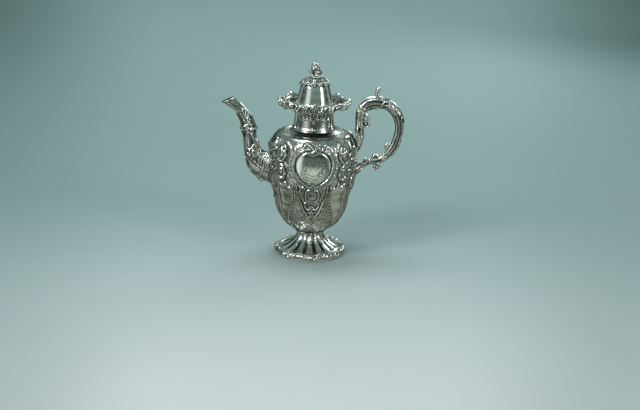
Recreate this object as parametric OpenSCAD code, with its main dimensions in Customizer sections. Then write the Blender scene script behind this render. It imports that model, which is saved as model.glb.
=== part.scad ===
// Silver coffee pot: a raised, embossed baluster body on a domed foot, a flared
// neck with a cast-bordered brim, a swan-neck spout, a C-scroll handle broken by
// two ivory insulators, and a hinged bell-shaped lid with a bud finial.
// Millimetres, Z up. The origin is the middle of the foot's underside, the spout
// points to -X and the handle to +X.

/* [Body] */
// Largest radius of the body
body_r = 74.4; // [72:0.1:77]
// Thickness of the raised silver wall
body_wall = 0.7; // [0.6:0.1:1.2]
// Diameter of the straining holes behind the spout
strainer_hole_d = 4.4; // [3:0.1:6]

/* [Foot] */
// Radius of the foot at its cast border
foot_r = 61; // [57:0.5:64]
// Thickness of the foot's domed shell
foot_wall = 0.8; // [0.7:0.1:1.4]
// Lobes around the cast borders of the foot and the brim
border_lobes = 8; // [6:1:12]

/* [Neck and brim] */
// Thickness of the neck and the brim
neck_wall = 0.8; // [0.7:0.1:1.2]
// Radius over the lobes of the brim's cast border
brim_r = 61.5; // [59:0.5:63]

/* [Spout and handle] */
// Wall of the cast spout
spout_wall = 1.0; // [0.8:0.1:1.4]
// Wall of the hollow handle and its sockets
handle_wall = 1.0; // [0.8:0.1:1.4]
// Thickness of each ivory insulator between its silver neighbours
insulator_t = 2.4; // [2.4:0.1:4]
// Diameter of the silver pins through the insulators
insulator_pin_d = 2.2; // [1.6:0.1:2.6]

/* [Lid] */
// Thickness of the bell-shaped lid
lid_wall = 0.8; // [0.7:0.1:1.2]
// Diameter of the hinge pin
hinge_pin_d = 2.0; // [1.6:0.1:2.4]
// Diameter of the threaded stud that holds the finial
stud_d = 4.0; // [3:0.1:4.4]

/* [Smoothness] */
// Facets around a full turn
$fn = 96; // [48:8:160]

/* [Hidden] */

silver = [0.80, 0.82, 0.82];
cast_silver = [0.62, 0.65, 0.64];
ivory = [0.93, 0.89, 0.76];

// Heights of the seams between the pieces
wire_top = 2.6;
border_top = 11;
stem_z = 36;
body_z = 41;
shoulder_z = 219.4;
neck_seam_z = 256;
seat_z = 265.5;
lid_gap = 0.3;
flange_z = seat_z + lid_gap;
flange_t = 1.2;
dome_z = flange_z + flange_t;
dome_top = 310.2;
finial_top = 340;

spline_steps = 4;
root_gap = 0.05;
running_clearance = 0.05;

// Outer outlines as [radius, height], from bottom to top
foot_outline = spline([[55, 6], [50, 10], [44, 12.5], [36.5, 17], [29, 23], [23.5, 29.5],
                       [21.5, stem_z]], spline_steps);
body_outline = spline([[21, body_z], [25, 42.7], [33, 47], [40.5, 52.4], [46.6, 58.2],
                       [52.4, 66], [57.6, 75], [60.5, 84], [62.2, 93], [63.4, 103],
                       [65.6, 112], [69.2, 121], [71.6, 130], [body_r - 0.9, 143],
                       [body_r, 166], [body_r, 184], [body_r - 1.2, 197],
                       [body_r - 3.9, 205], [body_r - 8.4, 211.4], [60, 216.3],
                       [52, 218.9], [44, shoulder_z]], spline_steps);
body_radius_at = [for (p = body_outline) [p.y, p.x]];
neck_opening_r = 37.6;
throat_outline = spline([[37.5, 216.6], [37.5, 220], [37.0, 224], [35.2, 230], [33.8, 238],
                         [33.1, 247], [33.3, neck_seam_z], [34.6, 259.2], [38, 261.6],
                         [44, 263.2], [49, 264.8], [53, 267.2]], spline_steps);
neck_points = 6 * spline_steps + 1;
throat_inside = inset(throat_outline, neck_wall);
dome_outline = spline([[31.2, dome_z], [30.9, 271], [29.9, 275.5], [28.3, 281.5], [26.4, 287.5],
                       [24.4, 293.2], [22.2, 298.6], [18.8, 304.4], [13, 309.2], [6, 310.1],
                       [stud_d / 2 + 0.05, dome_top]], spline_steps);
calyx_from = 5 * spline_steps;
calyx_t = 1.3;
brim_edge_r = 53;

// Hinge of the lid: its axis runs along Y
hinge_x = 34.8;
hinge_z = 268;
knuckle_r = 2.2;
lid_knuckle_w = 6;
hinge_w = 17;
knuckle_gap = 0.3;

// Centre, tilt of the up vector, half height and half width of the sections of
// the swept pieces, all drawn on the +X side: [x, z, tilt, half height, half width]
spout_path = [[71, 148.5, 90, 28, 17], [89.5, 157, 104.5, 22, 15], [101.7, 168.7, 124, 18.2, 13],
              [106.2, 182, 138, 14.2, 11.4], [108.6, 198, 162, 10.3, 9.8],
              [111, 214.5, 176, 9.6, 9.1], [114.6, 231.5, 165, 10.2, 9.1],
              [120.8, 244.8, 151, 9.1, 8.5], [130.6, 256.3, 137, 8.7, 7.9],
              [147.9, 268.6, 157, 11.1, 7.6]];
insulator_reach = insulator_t / 2 + 0.02;
upper_tilt = 152;
upper_joint = [81.1, 256.8];
lower_tilt = -53;
lower_joint = [123, 175.1];
grip_start = along(upper_joint, upper_tilt, insulator_reach);
grip_end = along(lower_joint, lower_tilt, -insulator_reach);
grip_path = [[grip_start.x, grip_start.y, upper_tilt, 8.5, 7.5],
             [90.3, 267.5, 123, 8.9, 7.7], [106, 271.4, 91, 8.3, 7.5],
             [126.6, 265.7, 58, 8.1, 7.4], [141.6, 249.6, 27, 7.7, 7.1],
             [146.7, 227, 0, 7.4, 6.8], [141.6, 201.8, -21, 7.1, 6.5],
             [132.6, 185, -36, 6.6, 6.0], [grip_end.x, grip_end.y, lower_tilt, 5.9, 5.4]];
upper_end = along(upper_joint, upper_tilt, -insulator_reach);
upper_path = [[73, 195, 90, 17, 8], [77.8, 205, 125, 9.4, 6.9], [78.6, 215, 160, 7.6, 6.4],
              [78.2, 226, 180, 6.9, 6.3], [78.4, 238, 176, 7.5, 6.8],
              [79, 248, 164, 8.2, 7.3], [upper_end.x, upper_end.y, upper_tilt, 8.5, 7.5]];
lower_end = along(lower_joint, lower_tilt + 180, -insulator_reach);
lower_path = [[73.9, 149, 90, 9, 6.2], [81, 154.6, 133, 5.8, 5], [89, 161.4, 123, 4.8, 4.5],
              [98, 166, 112, 4.7, 4.5], [108, 168.2, 106, 5.2, 4.8],
              [116, 170.9, 119, 5.8, 5.2],
              [lower_end.x, lower_end.y, lower_tilt + 180, 5.9, 5.4]];
spur_path = [[109.6, 278.6, 180, 6, 5], [108.2, 284, 178, 3.4, 3.6],
             [107.6, 288.5, 170, 2.5, 3.2], [109.8, 292.6, 120, 1.0, 1.6]];

tenon_l = 5.5;
tenon_pin_at = 3.2;
upper_tenon_r = 4.6;
lower_tenon_r = 3.3;

// A smooth curve of n steps between each two points, through all of them
function spline(p, n) = [
    for (i = [0:len(p) - 2], k = [0:n - 1])
        between(p[max(i - 1, 0)], p[i], p[i + 1], p[min(i + 2, len(p) - 1)], k / n),
    p[len(p) - 1]];
function between(a, b, c, d, t) =
    (2 * b + (c - a) * t + (2 * a - 5 * b + 4 * c - d) * t * t
     + (3 * b - a - 3 * c + d) * t * t * t) / 2;

function part(p, from, to) = [for (i = [from:to]) p[i]];
function backwards(p) = [for (i = [len(p) - 1:-1:0]) p[i]];

// The outline moved inwards by w, square to itself
function inset(p, w) = [
    for (i = [0:len(p) - 1])
        let (d = p[min(i + 1, len(p) - 1)] - p[max(i - 1, 0)])
        p[i] + w * [-d.y, d.x] / norm(d)];

// A point moved by d along the run of a swept piece whose section tilts by tilt
function along(p, tilt, d) = p + d * [sin(tilt), -cos(tilt)];

function body_x(y, z) = sqrt(pow(lookup(z, body_radius_at), 2) - y * y) + root_gap;

// One ring of a swept piece; the first ring of an arm lies on the body's surface
function ring(s, grow, sides, on_body) = [
    for (j = [0:sides - 1])
        let (a = 360 * j / sides,
             up = (s[3] + grow) * cos(a),
             y = (s[4] + grow) * sin(a),
             z = s[1] + up * sin(s[2]))
        [on_body ? body_x(y, z) : s[0] + up * cos(s[2]), y, z]];

function rings(path, grow, sides, rooted) = [
    for (i = [0:len(path) - 1]) each ring(path[i], grow, sides, rooted && i == 0)];

// Triangles between ring a and ring b, whose points start at those numbers
function band(a, b, sides) = [
    for (j = [0:sides - 1])
        let (k = (j + 1) % sides)
        each [[a + j, b + j, b + k], [a + j, b + k, a + k]]];

// A tube along a path of sections, with a wall between its two grown outlines
module swept_tube(path, outer, inner, sides, rooted = false) {
    n = len(path);
    points = concat(rings(path, outer, sides, rooted), rings(path, inner, sides, rooted));
    outside = [for (i = [0:n - 2]) each band(i * sides, (i + 1) * sides, sides)];
    inside = [for (i = [0:n - 2]) each band((n + i + 1) * sides, (n + i) * sides, sides)];
    start = band(n * sides, 0, sides);
    end = band((n - 1) * sides, (2 * n - 1) * sides, sides);
    polyhedron(points, concat(outside, inside, start, end), convexity = 8);
}

// A solid horn along a path of sections
module swept_horn(path, sides) {
    n = len(path);
    points = rings(path, 0, sides, false);
    outside = [for (i = [0:n - 2]) each band(i * sides, (i + 1) * sides, sides)];
    start = [for (j = [1:sides - 2]) [0, j, j + 1]];
    end = [for (j = [1:sides - 2]) [for (k = [0, j + 1, j]) (n - 1) * sides + k]];
    polyhedron(points, concat(outside, start, end), convexity = 4);
}

module shell(outline, inside) {
    rotate_extrude() polygon(concat(outline, backwards(inside)));
}

module around(n) {
    for (i = [0:n - 1]) rotate(360 * i / n) children();
}

// A cylinder on an axis parallel to Y
module y_cylinder(x, z, r, w) {
    translate([x, w / 2, z]) rotate([90, 0, 0]) cylinder(r = r, h = w);
}

// ---- Foot ----

module foot_wire() {
    color(silver) rotate_extrude() translate([foot_r - 8, 0]) square([5, wire_top]);
}

module foot_border() {
    lobe_r = 9;
    color(cast_silver) difference() {
        union() {
            rotate_extrude() polygon([[foot_r - 10, wire_top], [foot_r - 2.5, wire_top],
                                      [foot_r - 1.8, 6], [foot_r - 5, 9.5],
                                      [foot_r - 10, border_top]]);
            around(border_lobes) translate([foot_r - lobe_r, 0, wire_top])
                cylinder(r = lobe_r, h = 5.4);
        }
        translate([0, 0, -1]) cylinder(r = foot_r - 5.8, h = 7);
        translate([0, 0, 5.9]) cylinder(r1 = foot_r - 5.8, r2 = foot_r - 12.4, h = 5.6);
    }
}

module foot_dome() {
    color(silver) shell(foot_outline, inset(foot_outline, foot_wall));
}

module stem_collar() {
    color(cast_silver) rotate_extrude()
        polygon([[18.6, stem_z], [23.4, stem_z], [25, stem_z + 1.6], [25, stem_z + 3.2],
                 [22.6, body_z], [18.6, body_z]]);
}

// ---- Body ----

module body_shell() {
    inside = inset(body_outline, body_wall);
    rows = 5;
    color(silver) difference() {
        rotate_extrude() polygon(concat([[0, body_z]], body_outline,
            [[neck_opening_r, shoulder_z], [neck_opening_r, shoulder_z - body_wall]],
            backwards(part(inside, 1, len(inside) - 1)), [[0, body_z + body_wall]]));
        for (row = [0:rows - 1], y = row % 2 == 0 ? [-9, 0, 9] : [-4.5, 4.5])
            translate([-body_r - 2, y, 133 + 8 * row]) rotate([0, 90, 0])
                cylinder(d = strainer_hole_d, h = 12);
    }
}

// ---- Neck and brim ----

// Everything within the outer face of the neck and the brim
module within_throat() {
    polygon(concat(throat_outline, [[0, 267.2], [0, 216.6]]));
}

// Everything within the inner face of the neck, up to the top of the brim
module within_neck() {
    polygon(concat(throat_inside, [[0, 268], [0, 216.6]]));
}

// Everything below the upper face of the brim
module under_brim() {
    last = len(throat_inside) - 1;
    polygon(concat(part(throat_inside, neck_points - 1, last), [[53, 250], [20, 250]]));
}

module neck() {
    color(silver) shell(part(throat_outline, 0, neck_points - 1),
                        part(throat_inside, 0, neck_points - 1));
}

module brim() {
    last = len(throat_outline) - 1;
    color(silver) shell(part(throat_outline, neck_points - 1, last),
                        part(throat_inside, neck_points - 1, last));
}

// Convex moulding around the foot of the neck
module neck_ring() {
    color(silver) rotate_extrude() difference() {
        polygon(concat([[36, shoulder_z], [38.6, shoulder_z]],
                       [for (a = [-60:15:75]) [36.8 + 2.9 * cos(a), 223.4 + 3.4 * sin(a)]],
                       [[36, 227.5]]));
        within_throat();
    }
}

// Ledge inside the mouth of the pot, on which the lid's flange rests
module lid_seat() {
    inner_r = 28.6;
    outer_r = 33.4;
    skirt_r = 31.8;
    skirt_z = 257.5;
    ledge_t = 1.3;
    color(silver) rotate_extrude() intersection() {
        polygon([[inner_r, seat_z - ledge_t], [skirt_r, seat_z - ledge_t], [skirt_r, skirt_z],
                 [outer_r, skirt_z], [outer_r, seat_z], [inner_r, seat_z]]);
        within_neck();
    }
}

module brim_border() {
    lobe_r = 8.5;
    color(cast_silver) difference() {
        union() {
            rotate_extrude() polygon([[brim_edge_r, 265.4], [57, 264.8], [58.8, 267],
                                      [57.6, 270.2], [54, 270.6], [brim_edge_r, 268.8]]);
            around(border_lobes) translate([brim_r - lobe_r, 0, 265.6])
                cylinder(r = lobe_r, h = 3.8);
        }
        translate([0, 0, 260]) cylinder(r = brim_edge_r + 0.05, h = 15);
    }
}

// ---- Spout ----

module spout() {
    color(silver) mirror([1, 0, 0])
        swept_tube(spline(spout_path, 4), 0, -spout_wall, 20, rooted = true);
}

// Cast leaf collar around the root of the spout
module spout_collar() {
    reach = 5;
    color(cast_silver) mirror([1, 0, 0])
        swept_tube(part(spline(spout_path, 4), 0, reach), 1.6, 0.05, 20, rooted = true);
}

// ---- Handle ----

module upper_socket() {
    color(silver) swept_tube(spline(upper_path, 3), 0, -handle_wall, 16, rooted = true);
}

module lower_socket() {
    color(silver) swept_tube(spline(lower_path, 3), 0, -handle_wall, 16, rooted = true);
}

module handle_grip() {
    color(silver) swept_tube(spline(grip_path, 4), 0, -handle_wall, 16);
}

module thumb_spur() {
    color(cast_silver) swept_horn(spline(spur_path, 3), 12);
}

// A rolled scroll end: a disc with a raised eye on both faces
module volute(x, z, r, w) {
    y_cylinder(x, z, r, w);
    y_cylinder(x, z, r * 0.42, w + 2);
}

module upper_curl() {
    color(cast_silver) volute(88, 234.6, 6.6, 8);
}

module lower_curls() {
    color(cast_silver) {
        volute(108.4, 175.2, 5.2, 7);
        volute(110.4, 158.6, 6.2, 7);
    }
}

// Turned ivory disc with a tenon at each end, drilled across for its two pins
module insulator(joint, tilt, r, tenon_r) {
    translate([joint.x, 0, joint.y]) rotate([0, 180 - tilt, 0]) difference() {
        union() {
            translate([0, 0, -insulator_t / 2]) cylinder(r = r, h = insulator_t);
            translate([0, 0, -insulator_t / 2 - tenon_l])
                cylinder(r = tenon_r, h = insulator_t + 2 * tenon_l);
        }
        for (side = [-1, 1])
            y_cylinder(0, side * (insulator_t / 2 + tenon_pin_at), insulator_pin_d / 2,
                       4 * tenon_r);
    }
}

module insulator_pins(joint, tilt, w) {
    translate([joint.x, 0, joint.y]) rotate([0, 180 - tilt, 0])
        for (side = [-1, 1])
            y_cylinder(0, side * (insulator_t / 2 + tenon_pin_at), insulator_pin_d / 2, w);
}

module upper_insulator() {
    color(ivory) insulator(upper_joint, upper_tilt, 8.9, upper_tenon_r);
}

module lower_insulator() {
    color(ivory) insulator(lower_joint, lower_tilt, 6.3, lower_tenon_r);
}

module upper_pins() {
    color(silver) insulator_pins(upper_joint, upper_tilt, 15.2);
}

module lower_pins() {
    color(silver) insulator_pins(lower_joint, lower_tilt, 11.2);
}

// ---- Lid hinge ----

module hinge_pot_knuckles() {
    outer_y = hinge_w / 2;
    inner_y = lid_knuckle_w / 2 + knuckle_gap;
    w = outer_y - inner_y;
    color(silver) for (side = [-1, 1]) translate([0, side * (inner_y + w / 2), 0])
        difference() {
            union() {
                y_cylinder(hinge_x, hinge_z, knuckle_r, w);
                translate([hinge_x - 0.9, -w / 2, 261]) cube([3.1, w, hinge_z - 261]);
            }
            y_cylinder(hinge_x, hinge_z, hinge_pin_d / 2, w + 2);
            translate([0, -side * (inner_y + w / 2), 0]) rotate_extrude() under_brim();
        }
}

module hinge_pin() {
    color(silver) y_cylinder(hinge_x, hinge_z, hinge_pin_d / 2, hinge_w);
}

module hinge_lid_leaf() {
    color(silver) difference() {
        union() {
            y_cylinder(hinge_x, hinge_z, knuckle_r, lid_knuckle_w);
            translate([29.6, -lid_knuckle_w / 2, flange_z])
                cube([hinge_x - 29.6, lid_knuckle_w, flange_t]);
        }
        y_cylinder(hinge_x, hinge_z, hinge_pin_d / 2 + running_clearance, hinge_w);
        translate([0, 0, flange_z - 1]) cylinder(r = 31.6, h = flange_t + 2);
    }
}

// ---- Lid ----

module lid_bezel() {
    color(silver) rotate_extrude()
        polygon([[26.4, 259.5], [27.2, 259.5], [27.7, 261], [27.7, flange_z], [31.6, flange_z],
                 [31.6, dome_z], [26.8, dome_z]]);
}

module lid_dome() {
    color(silver) difference() {
        shell(dome_outline, inset(dome_outline, lid_wall));
        translate([0, 0, dome_z - 2]) cylinder(r = 40, h = 2);
    }
}

// Leaf cap over the crown of the lid, with pointed tips
module lid_calyx() {
    last = len(dome_outline) - 1;
    crown = part(dome_outline, calyx_from, last);
    outside = part(inset(dome_outline, -calyx_t), calyx_from, last);
    notch_r = 5.2;
    color(cast_silver) difference() {
        shell(outside, crown);
        around(border_lobes) translate([27.6, 0, 288]) cylinder(r = notch_r, h = 27);
    }
}

// ---- Finial ----

module on_stud(outline) {
    bore = stud_d / 2;
    rotate_extrude() polygon(concat([[bore, outline[0].y]], outline,
                                    [[bore, outline[len(outline) - 1].y]]));
}

module finial_knop() {
    color(silver) on_stud([[6.5, 311.6], [6.8, 312.4], [4.2, 313.2], [3.1, 314.2],
                           [3.1, 315.6], [5.4, 317]]);
}

module finial_leaves() {
    color(cast_silver) difference() {
        on_stud([[5.6, 317], [8.4, 318.2], [11, 320.4], [12.3, 323], [11.6, 324],
                 [8.2, 321.6], [5.4, 321]]);
        around(4) rotate(45) translate([13, 0, 316]) cylinder(r = 4.6, h = 10);
    }
}

module finial_bud() {
    bud = spline([[4.4, 321], [6.3, 324.4], [6.7, 328], [5.6, 332], [3.4, 336],
                  [1.6, 338.6], [0, finial_top]], spline_steps);
    color(cast_silver) difference() {
        rotate_extrude() polygon(concat([[0, 321]], bud));
        translate([0, 0, 320]) cylinder(d = stud_d, h = 6);
    }
}

module finial_stud() {
    color(silver) translate([0, 0, 300]) cylinder(d = stud_d, h = 26);
}

module finial_washer() {
    color(silver) translate([0, 0, 307.6]) difference() {
        cylinder(r = 7, h = 1.2);
        translate([0, 0, -1]) cylinder(d = stud_d, h = 4);
    }
}

// Wing nut that draws the finial down on the lid
module finial_nut() {
    color(silver) difference() {
        union() {
            translate([0, 0, 303.4]) cylinder(r = 4.2, h = 4.2);
            for (side = [-1, 1]) translate([side * 6.4, 0.8, 304.2]) rotate([90, 0, 0])
                cylinder(r = 3.2, h = 1.6);
        }
        translate([0, 0, 296]) cylinder(d = stud_d, h = 14);
        translate([0, 0, 307.6]) cylinder(r = 12, h = 4);
    }
}

foot_wire();
foot_border();
foot_dome();
stem_collar();
body_shell();
neck_ring();
neck();
brim();
brim_border();
lid_seat();
spout();
spout_collar();
upper_socket();
upper_curl();
upper_insulator();
upper_pins();
handle_grip();
thumb_spur();
lower_insulator();
lower_pins();
lower_socket();
lower_curls();
hinge_pot_knuckles();
hinge_pin();
hinge_lid_leaf();
lid_bezel();
lid_dome();
lid_calyx();
finial_knop();
finial_leaves();
finial_bud();
finial_stud();
finial_washer();
finial_nut();
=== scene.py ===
"""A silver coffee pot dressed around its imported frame.

It has chased shells, cast mounts, a scroll handle with ivory washers and a hinged lid.
"""

import logging
import math
from dataclasses import dataclass, field
from enum import Enum
from typing import Callable, Iterable, Sequence

import bmesh
import bpy
import numpy as np
from mathutils import Matrix, Vector


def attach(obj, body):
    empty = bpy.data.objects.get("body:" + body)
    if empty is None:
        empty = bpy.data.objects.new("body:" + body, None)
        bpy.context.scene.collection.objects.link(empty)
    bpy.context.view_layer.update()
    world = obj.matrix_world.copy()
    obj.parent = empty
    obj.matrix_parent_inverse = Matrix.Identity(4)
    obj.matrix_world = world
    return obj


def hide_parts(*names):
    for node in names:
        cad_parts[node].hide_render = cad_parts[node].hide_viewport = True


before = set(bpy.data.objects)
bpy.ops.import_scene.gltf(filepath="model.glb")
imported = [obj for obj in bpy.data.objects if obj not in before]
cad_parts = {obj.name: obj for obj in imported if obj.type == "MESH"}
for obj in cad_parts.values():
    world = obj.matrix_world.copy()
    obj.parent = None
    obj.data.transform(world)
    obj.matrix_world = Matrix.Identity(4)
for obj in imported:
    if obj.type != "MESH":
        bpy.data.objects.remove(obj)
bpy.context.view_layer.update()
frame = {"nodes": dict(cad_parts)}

log = logging.getLogger("coffee_pot")

MM = 0.001
TURN = 2.0 * math.pi
POT = "pot"
LID = "lid"
RELIEF = "relief"
LEAF_WALL = 0.8
BODY_ARC = 74.0
NECK_ARC = 35.0
MEDALLION = (2.0, 171.5)
MEDALLION_HALF = (34.0, 33.0)
# Relief value of inside walls, which paints them in shade.
INSIDE_PAINTED_SHADE = 0.25
MIX_A, MIX_B, MIX_RESULT = 6, 7, 2
Place = Callable[[np.ndarray, np.ndarray], np.ndarray]


class Slot(Enum):
    """Finish slots of the record that the pieces take."""

    POLISHED = "polished_silver"
    CHASED = "chased_silver"
    CAST = "cast_silver"
    PLAIN = "plain_silver"
    IVORY = "ivory"


class Scroll(Enum):
    """Whether both ends of a scroll curl the same way (C) or opposite ways (S)."""

    C = 1
    S = -1


# ---------------------------------------------------------------- curves


def smooth_curve(points: Sequence[Sequence[float]], steps: int) -> np.ndarray:
    """A curve through all the points, rounded between them.

    Args:
        points: rows of coordinates, or of any numbers that vary together.
        steps: intervals between two neighbouring points.

    Returns:
        An array with one row per curve point.
    """
    p = np.asarray(points, float)
    last = len(p) - 1
    rows = []
    for i in range(last):
        a, b, c, d = p[max(i - 1, 0)], p[i], p[i + 1], p[min(i + 2, last)]
        for t in np.arange(steps) / steps:
            rows.append((2 * b + (c - a) * t + (2 * a - 5 * b + 4 * c - d) * t**2
                         + (3 * b - a - 3 * c + d) * t**3) / 2)
    rows.append(p[last])
    return np.array(rows)


def evenly(points: np.ndarray, count: int) -> np.ndarray:
    """The same line with its points spread evenly along it."""
    gaps = np.linalg.norm(np.diff(points[:, :2], axis=0), axis=1)
    run = np.concatenate([[0.0], np.cumsum(gaps)])
    at = np.linspace(0.0, run[-1], count)
    return np.stack([np.interp(at, run, column) for column in points.T], axis=1)


def run_length(points: np.ndarray) -> float:
    """Length of a line."""
    return float(np.linalg.norm(np.diff(points[:, :2], axis=0), axis=1).sum())


def inner_wall(outside: np.ndarray, wall: float) -> np.ndarray:
    """The inside of a spun shell, from its outside outline, which runs upwards, and its thickness."""
    tangent = np.gradient(outside, axis=0)
    tangent /= np.linalg.norm(tangent, axis=1)[:, None]
    return outside + np.stack([-tangent[:, 1], tangent[:, 0]], axis=1) * wall


def scroll_line(centre: Sequence[float], size: float, turn: float, kind: Scroll = Scroll.C,
                curl: float = 5.5, flip: bool = False) -> np.ndarray:
    """A rococo scroll: it bends gently in the middle and winds up at both ends.

    Args:
        centre: middle of the scroll's box.
        size: its longer side.
        turn: rotation in degrees.
        kind: C or S.
        curl: how tightly the ends wind.
        flip: mirrors the scroll left to right.

    Returns:
        Points of the scroll in the plane.
    """
    t = np.linspace(-1.0, 1.0, 110)
    rate = 1.3 + curl * 2.4 * np.abs(t) ** 3
    if kind is Scroll.S:
        rate = rate * np.sign(t)
    speed = 1.0 - 0.72 * np.abs(t) ** 2
    heading = np.cumsum(rate) * (t[1] - t[0])
    heading -= heading[len(t) // 2]
    line = np.cumsum(np.stack([np.cos(heading), np.sin(heading)], 1) * speed[:, None], axis=0)
    low, high = line.min(0), line.max(0)
    line = (line - (low + high) / 2) * (size / (high - low).max())
    if flip:
        line[:, 0] *= -1
    a = math.radians(turn)
    turned = line @ np.array([[math.cos(a), math.sin(a)], [-math.sin(a), math.cos(a)]])
    return turned + np.asarray(centre, float)


# ---------------------------------------------------------------- chased relief


@dataclass
class ReliefMap:
    """Heights of chased work on an unrolled surface; all lengths are in millimetres.

    Args:
        width: extent across, centred on zero.
        low: lowest place along the surface.
        high: highest place along it.
        step: size of a cell.
    """

    width: float
    low: float
    high: float
    step: float = 0.5
    raised: np.ndarray = field(init=False)
    cut: np.ndarray = field(init=False)
    burnished: np.ndarray = field(init=False)

    def __post_init__(self) -> None:
        """Starts with a flat surface."""
        shape = (int((self.high - self.low) / self.step) + 1, int(self.width / self.step) + 1)
        self.raised = np.zeros(shape)
        self.cut = np.zeros(shape)
        self.burnished = np.zeros(shape)

    def _stamp(self, cells: np.ndarray, at: np.ndarray, reach: float, height: float,
               round_top: float) -> None:
        """Raises one round spot to at least its own height."""
        column = (at[0] + self.width / 2) / self.step
        row = (at[1] - self.low) / self.step
        n = reach / self.step
        r0, r1 = max(int(row - n), 0), min(int(row + n) + 2, cells.shape[0])
        c0, c1 = max(int(column - n), 0), min(int(column + n) + 2, cells.shape[1])
        if r0 >= r1 or c0 >= c1:
            return
        rows, columns = np.ogrid[r0:r1, c0:c1]
        inside = 1.0 - ((rows - row) ** 2 + (columns - column) ** 2) / n**2
        spot = height * np.clip(inside, 0.0, 1.0) ** round_top
        np.maximum(cells[r0:r1, c0:c1], spot, out=cells[r0:r1, c0:c1])

    def stroke(self, line: np.ndarray, widths: Sequence[float], height: float,
               cut: bool = False, round_top: float = 0.6) -> None:
        """Raises or cuts a line whose half-width changes along it.

        Args:
            line: points of the line.
            widths: half-widths, spread evenly from its start to its end.
            height: height at the middle of the stroke.
            cut: True for a groove.
            round_top: 0.5 for a full round, more for a sharper ridge.
        """
        count = max(int(run_length(line) / (self.step * 0.8)), 2)
        points = evenly(line, count)
        half = np.interp(np.linspace(0, 1, count), np.linspace(0, 1, len(widths)), widths)
        cells = self.cut if cut else self.raised
        for point, reach in zip(points, half):
            self._stamp(cells, point, max(reach, self.step), height * min(1.0, 0.4 + reach),
                        round_top)

    def spot(self, at: Sequence[float], radius: float, height: float, round_top: float = 0.5) -> None:
        """Raises one boss."""
        self._stamp(self.raised, np.asarray(at, float), radius, height, round_top)

    def leaf(self, base: Sequence[float], tip: Sequence[float], width: float, height: float,
             bend: float = 0.0, lobes: int = 4) -> None:
        """Raises an acanthus leaf: a midrib with curved lobes on both sides of it.

        Args:
            base: where the leaf springs from.
            tip: where it ends.
            width: half-width at its widest.
            height: height of the midrib.
            bend: sideways bow of the midrib.
            lobes: lobes on each side.
        """
        b, e = np.asarray(base, float), np.asarray(tip, float)
        along = e - b
        length = float(np.linalg.norm(along))
        along /= length
        side = np.array([-along[1], along[0]])
        t = np.linspace(0, 1, 24)
        rib = b + np.outer(t, along) * length + np.outer(np.sin(math.pi * t) * bend, side)
        for n in range(lobes):
            start = 0.08 + 0.78 * n / lobes
            span = width * math.sin(math.pi * (0.25 + 0.6 * (n + 0.5) / lobes))
            root = rib[int(start * 23)]
            for hand in (-1, 1):
                k = np.linspace(0, 1, 10)
                lobe = (root + np.outer(k, side) * hand * span
                        + np.outer(k**1.6, along) * length * 0.9 / lobes)
                self.stroke(lobe, (width * 0.16, width * 0.3, width * 0.08), height * 0.75)
        self.stroke(rib, (width * 0.2, width * 0.16, width * 0.05), height)

    def fan(self, base: Sequence[float], radius: float, facing: float, spread: float,
            ribs: int, height: float) -> None:
        """Raises a ribbed shell that opens from its base towards facing, in degrees."""
        for n in range(ribs):
            share = n / (ribs - 1) - 0.5
            a = math.radians(facing + share * spread)
            reach = radius * (1.0 - 0.5 * share**2)
            end = np.asarray(base, float) + reach * np.array([math.cos(a), math.sin(a)])
            half = radius * math.radians(spread) / ribs * 0.52
            self.stroke(np.array([base, end]), (half * 0.35, half), height)

    def flower(self, at: Sequence[float], radius: float, height: float, petals: int = 5) -> None:
        """Raises a small open flower."""
        for n in range(petals):
            a = TURN * n / petals + 0.3
            middle = np.asarray(at, float) + radius * 0.58 * np.array([math.cos(a), math.sin(a)])
            self.spot(middle, radius * 0.42, height * 0.8)
        self.spot(at, radius * 0.28, height)

    def heights(self, across: np.ndarray, along: np.ndarray) -> np.ndarray:
        """Height at each place."""
        return self._read(self.raised - self.cut, across, along)

    def exposure(self, across: np.ndarray, along: np.ndarray, reach: float = 2.6,
                 full: float = 1.3) -> np.ndarray:
        """How open each place is to a polishing cloth; it sets both the oxide left in the crevices and the
        painted shade there.

        Args:
            across: places across.
            along: places along.
            reach: distance in millimetres over which the surroundings count.
            full: height above them that counts as fully open.

        Returns:
            0 in a crevice, 0.5 on a plain surface and 1 on a ridge.
        """
        cells = self.raised - self.cut
        n = max(int(reach / self.step), 1)
        around = cells
        for axis in (0, 1):
            pad = [(n, n) if axis == k else (0, 0) for k in (0, 1)]
            total = np.cumsum(np.pad(around, pad, mode="edge"), axis=axis)
            total = np.insert(total, 0, 0.0, axis=axis)
            size = around.shape[axis]
            around = (np.take(total, range(2 * n, 2 * n + size), axis)
                      - np.take(total, range(size), axis)) / (2 * n)
        share = np.clip(0.5 + 0.5 * self._read(cells - around, across, along) / full, 0.0, 1.0)
        engraved = self._read(np.where(self.burnished > 0, -self.cut, 0.0), across, along)
        plain = np.clip(1.0 + engraved * 2, 0.1, 1)
        return np.maximum(share, 0.9 * plain * self._read(self.burnished, across, along))

    def _read(self, cells: np.ndarray, across: np.ndarray, along: np.ndarray) -> np.ndarray:
        """Reads cells smoothly at places between them."""
        column = np.clip((across + self.width / 2) / self.step, 0, cells.shape[1] - 1.001)
        row = np.clip((along - self.low) / self.step, 0, cells.shape[0] - 1.001)
        c, r = column.astype(int), row.astype(int)
        x, y = column - c, row - r
        return ((cells[r, c] * (1 - x) + cells[r, c + 1] * x) * (1 - y)
                + (cells[r + 1, c] * (1 - x) + cells[r + 1, c + 1] * x) * y)


# ---------------------------------------------------------------- mesh makers


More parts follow.
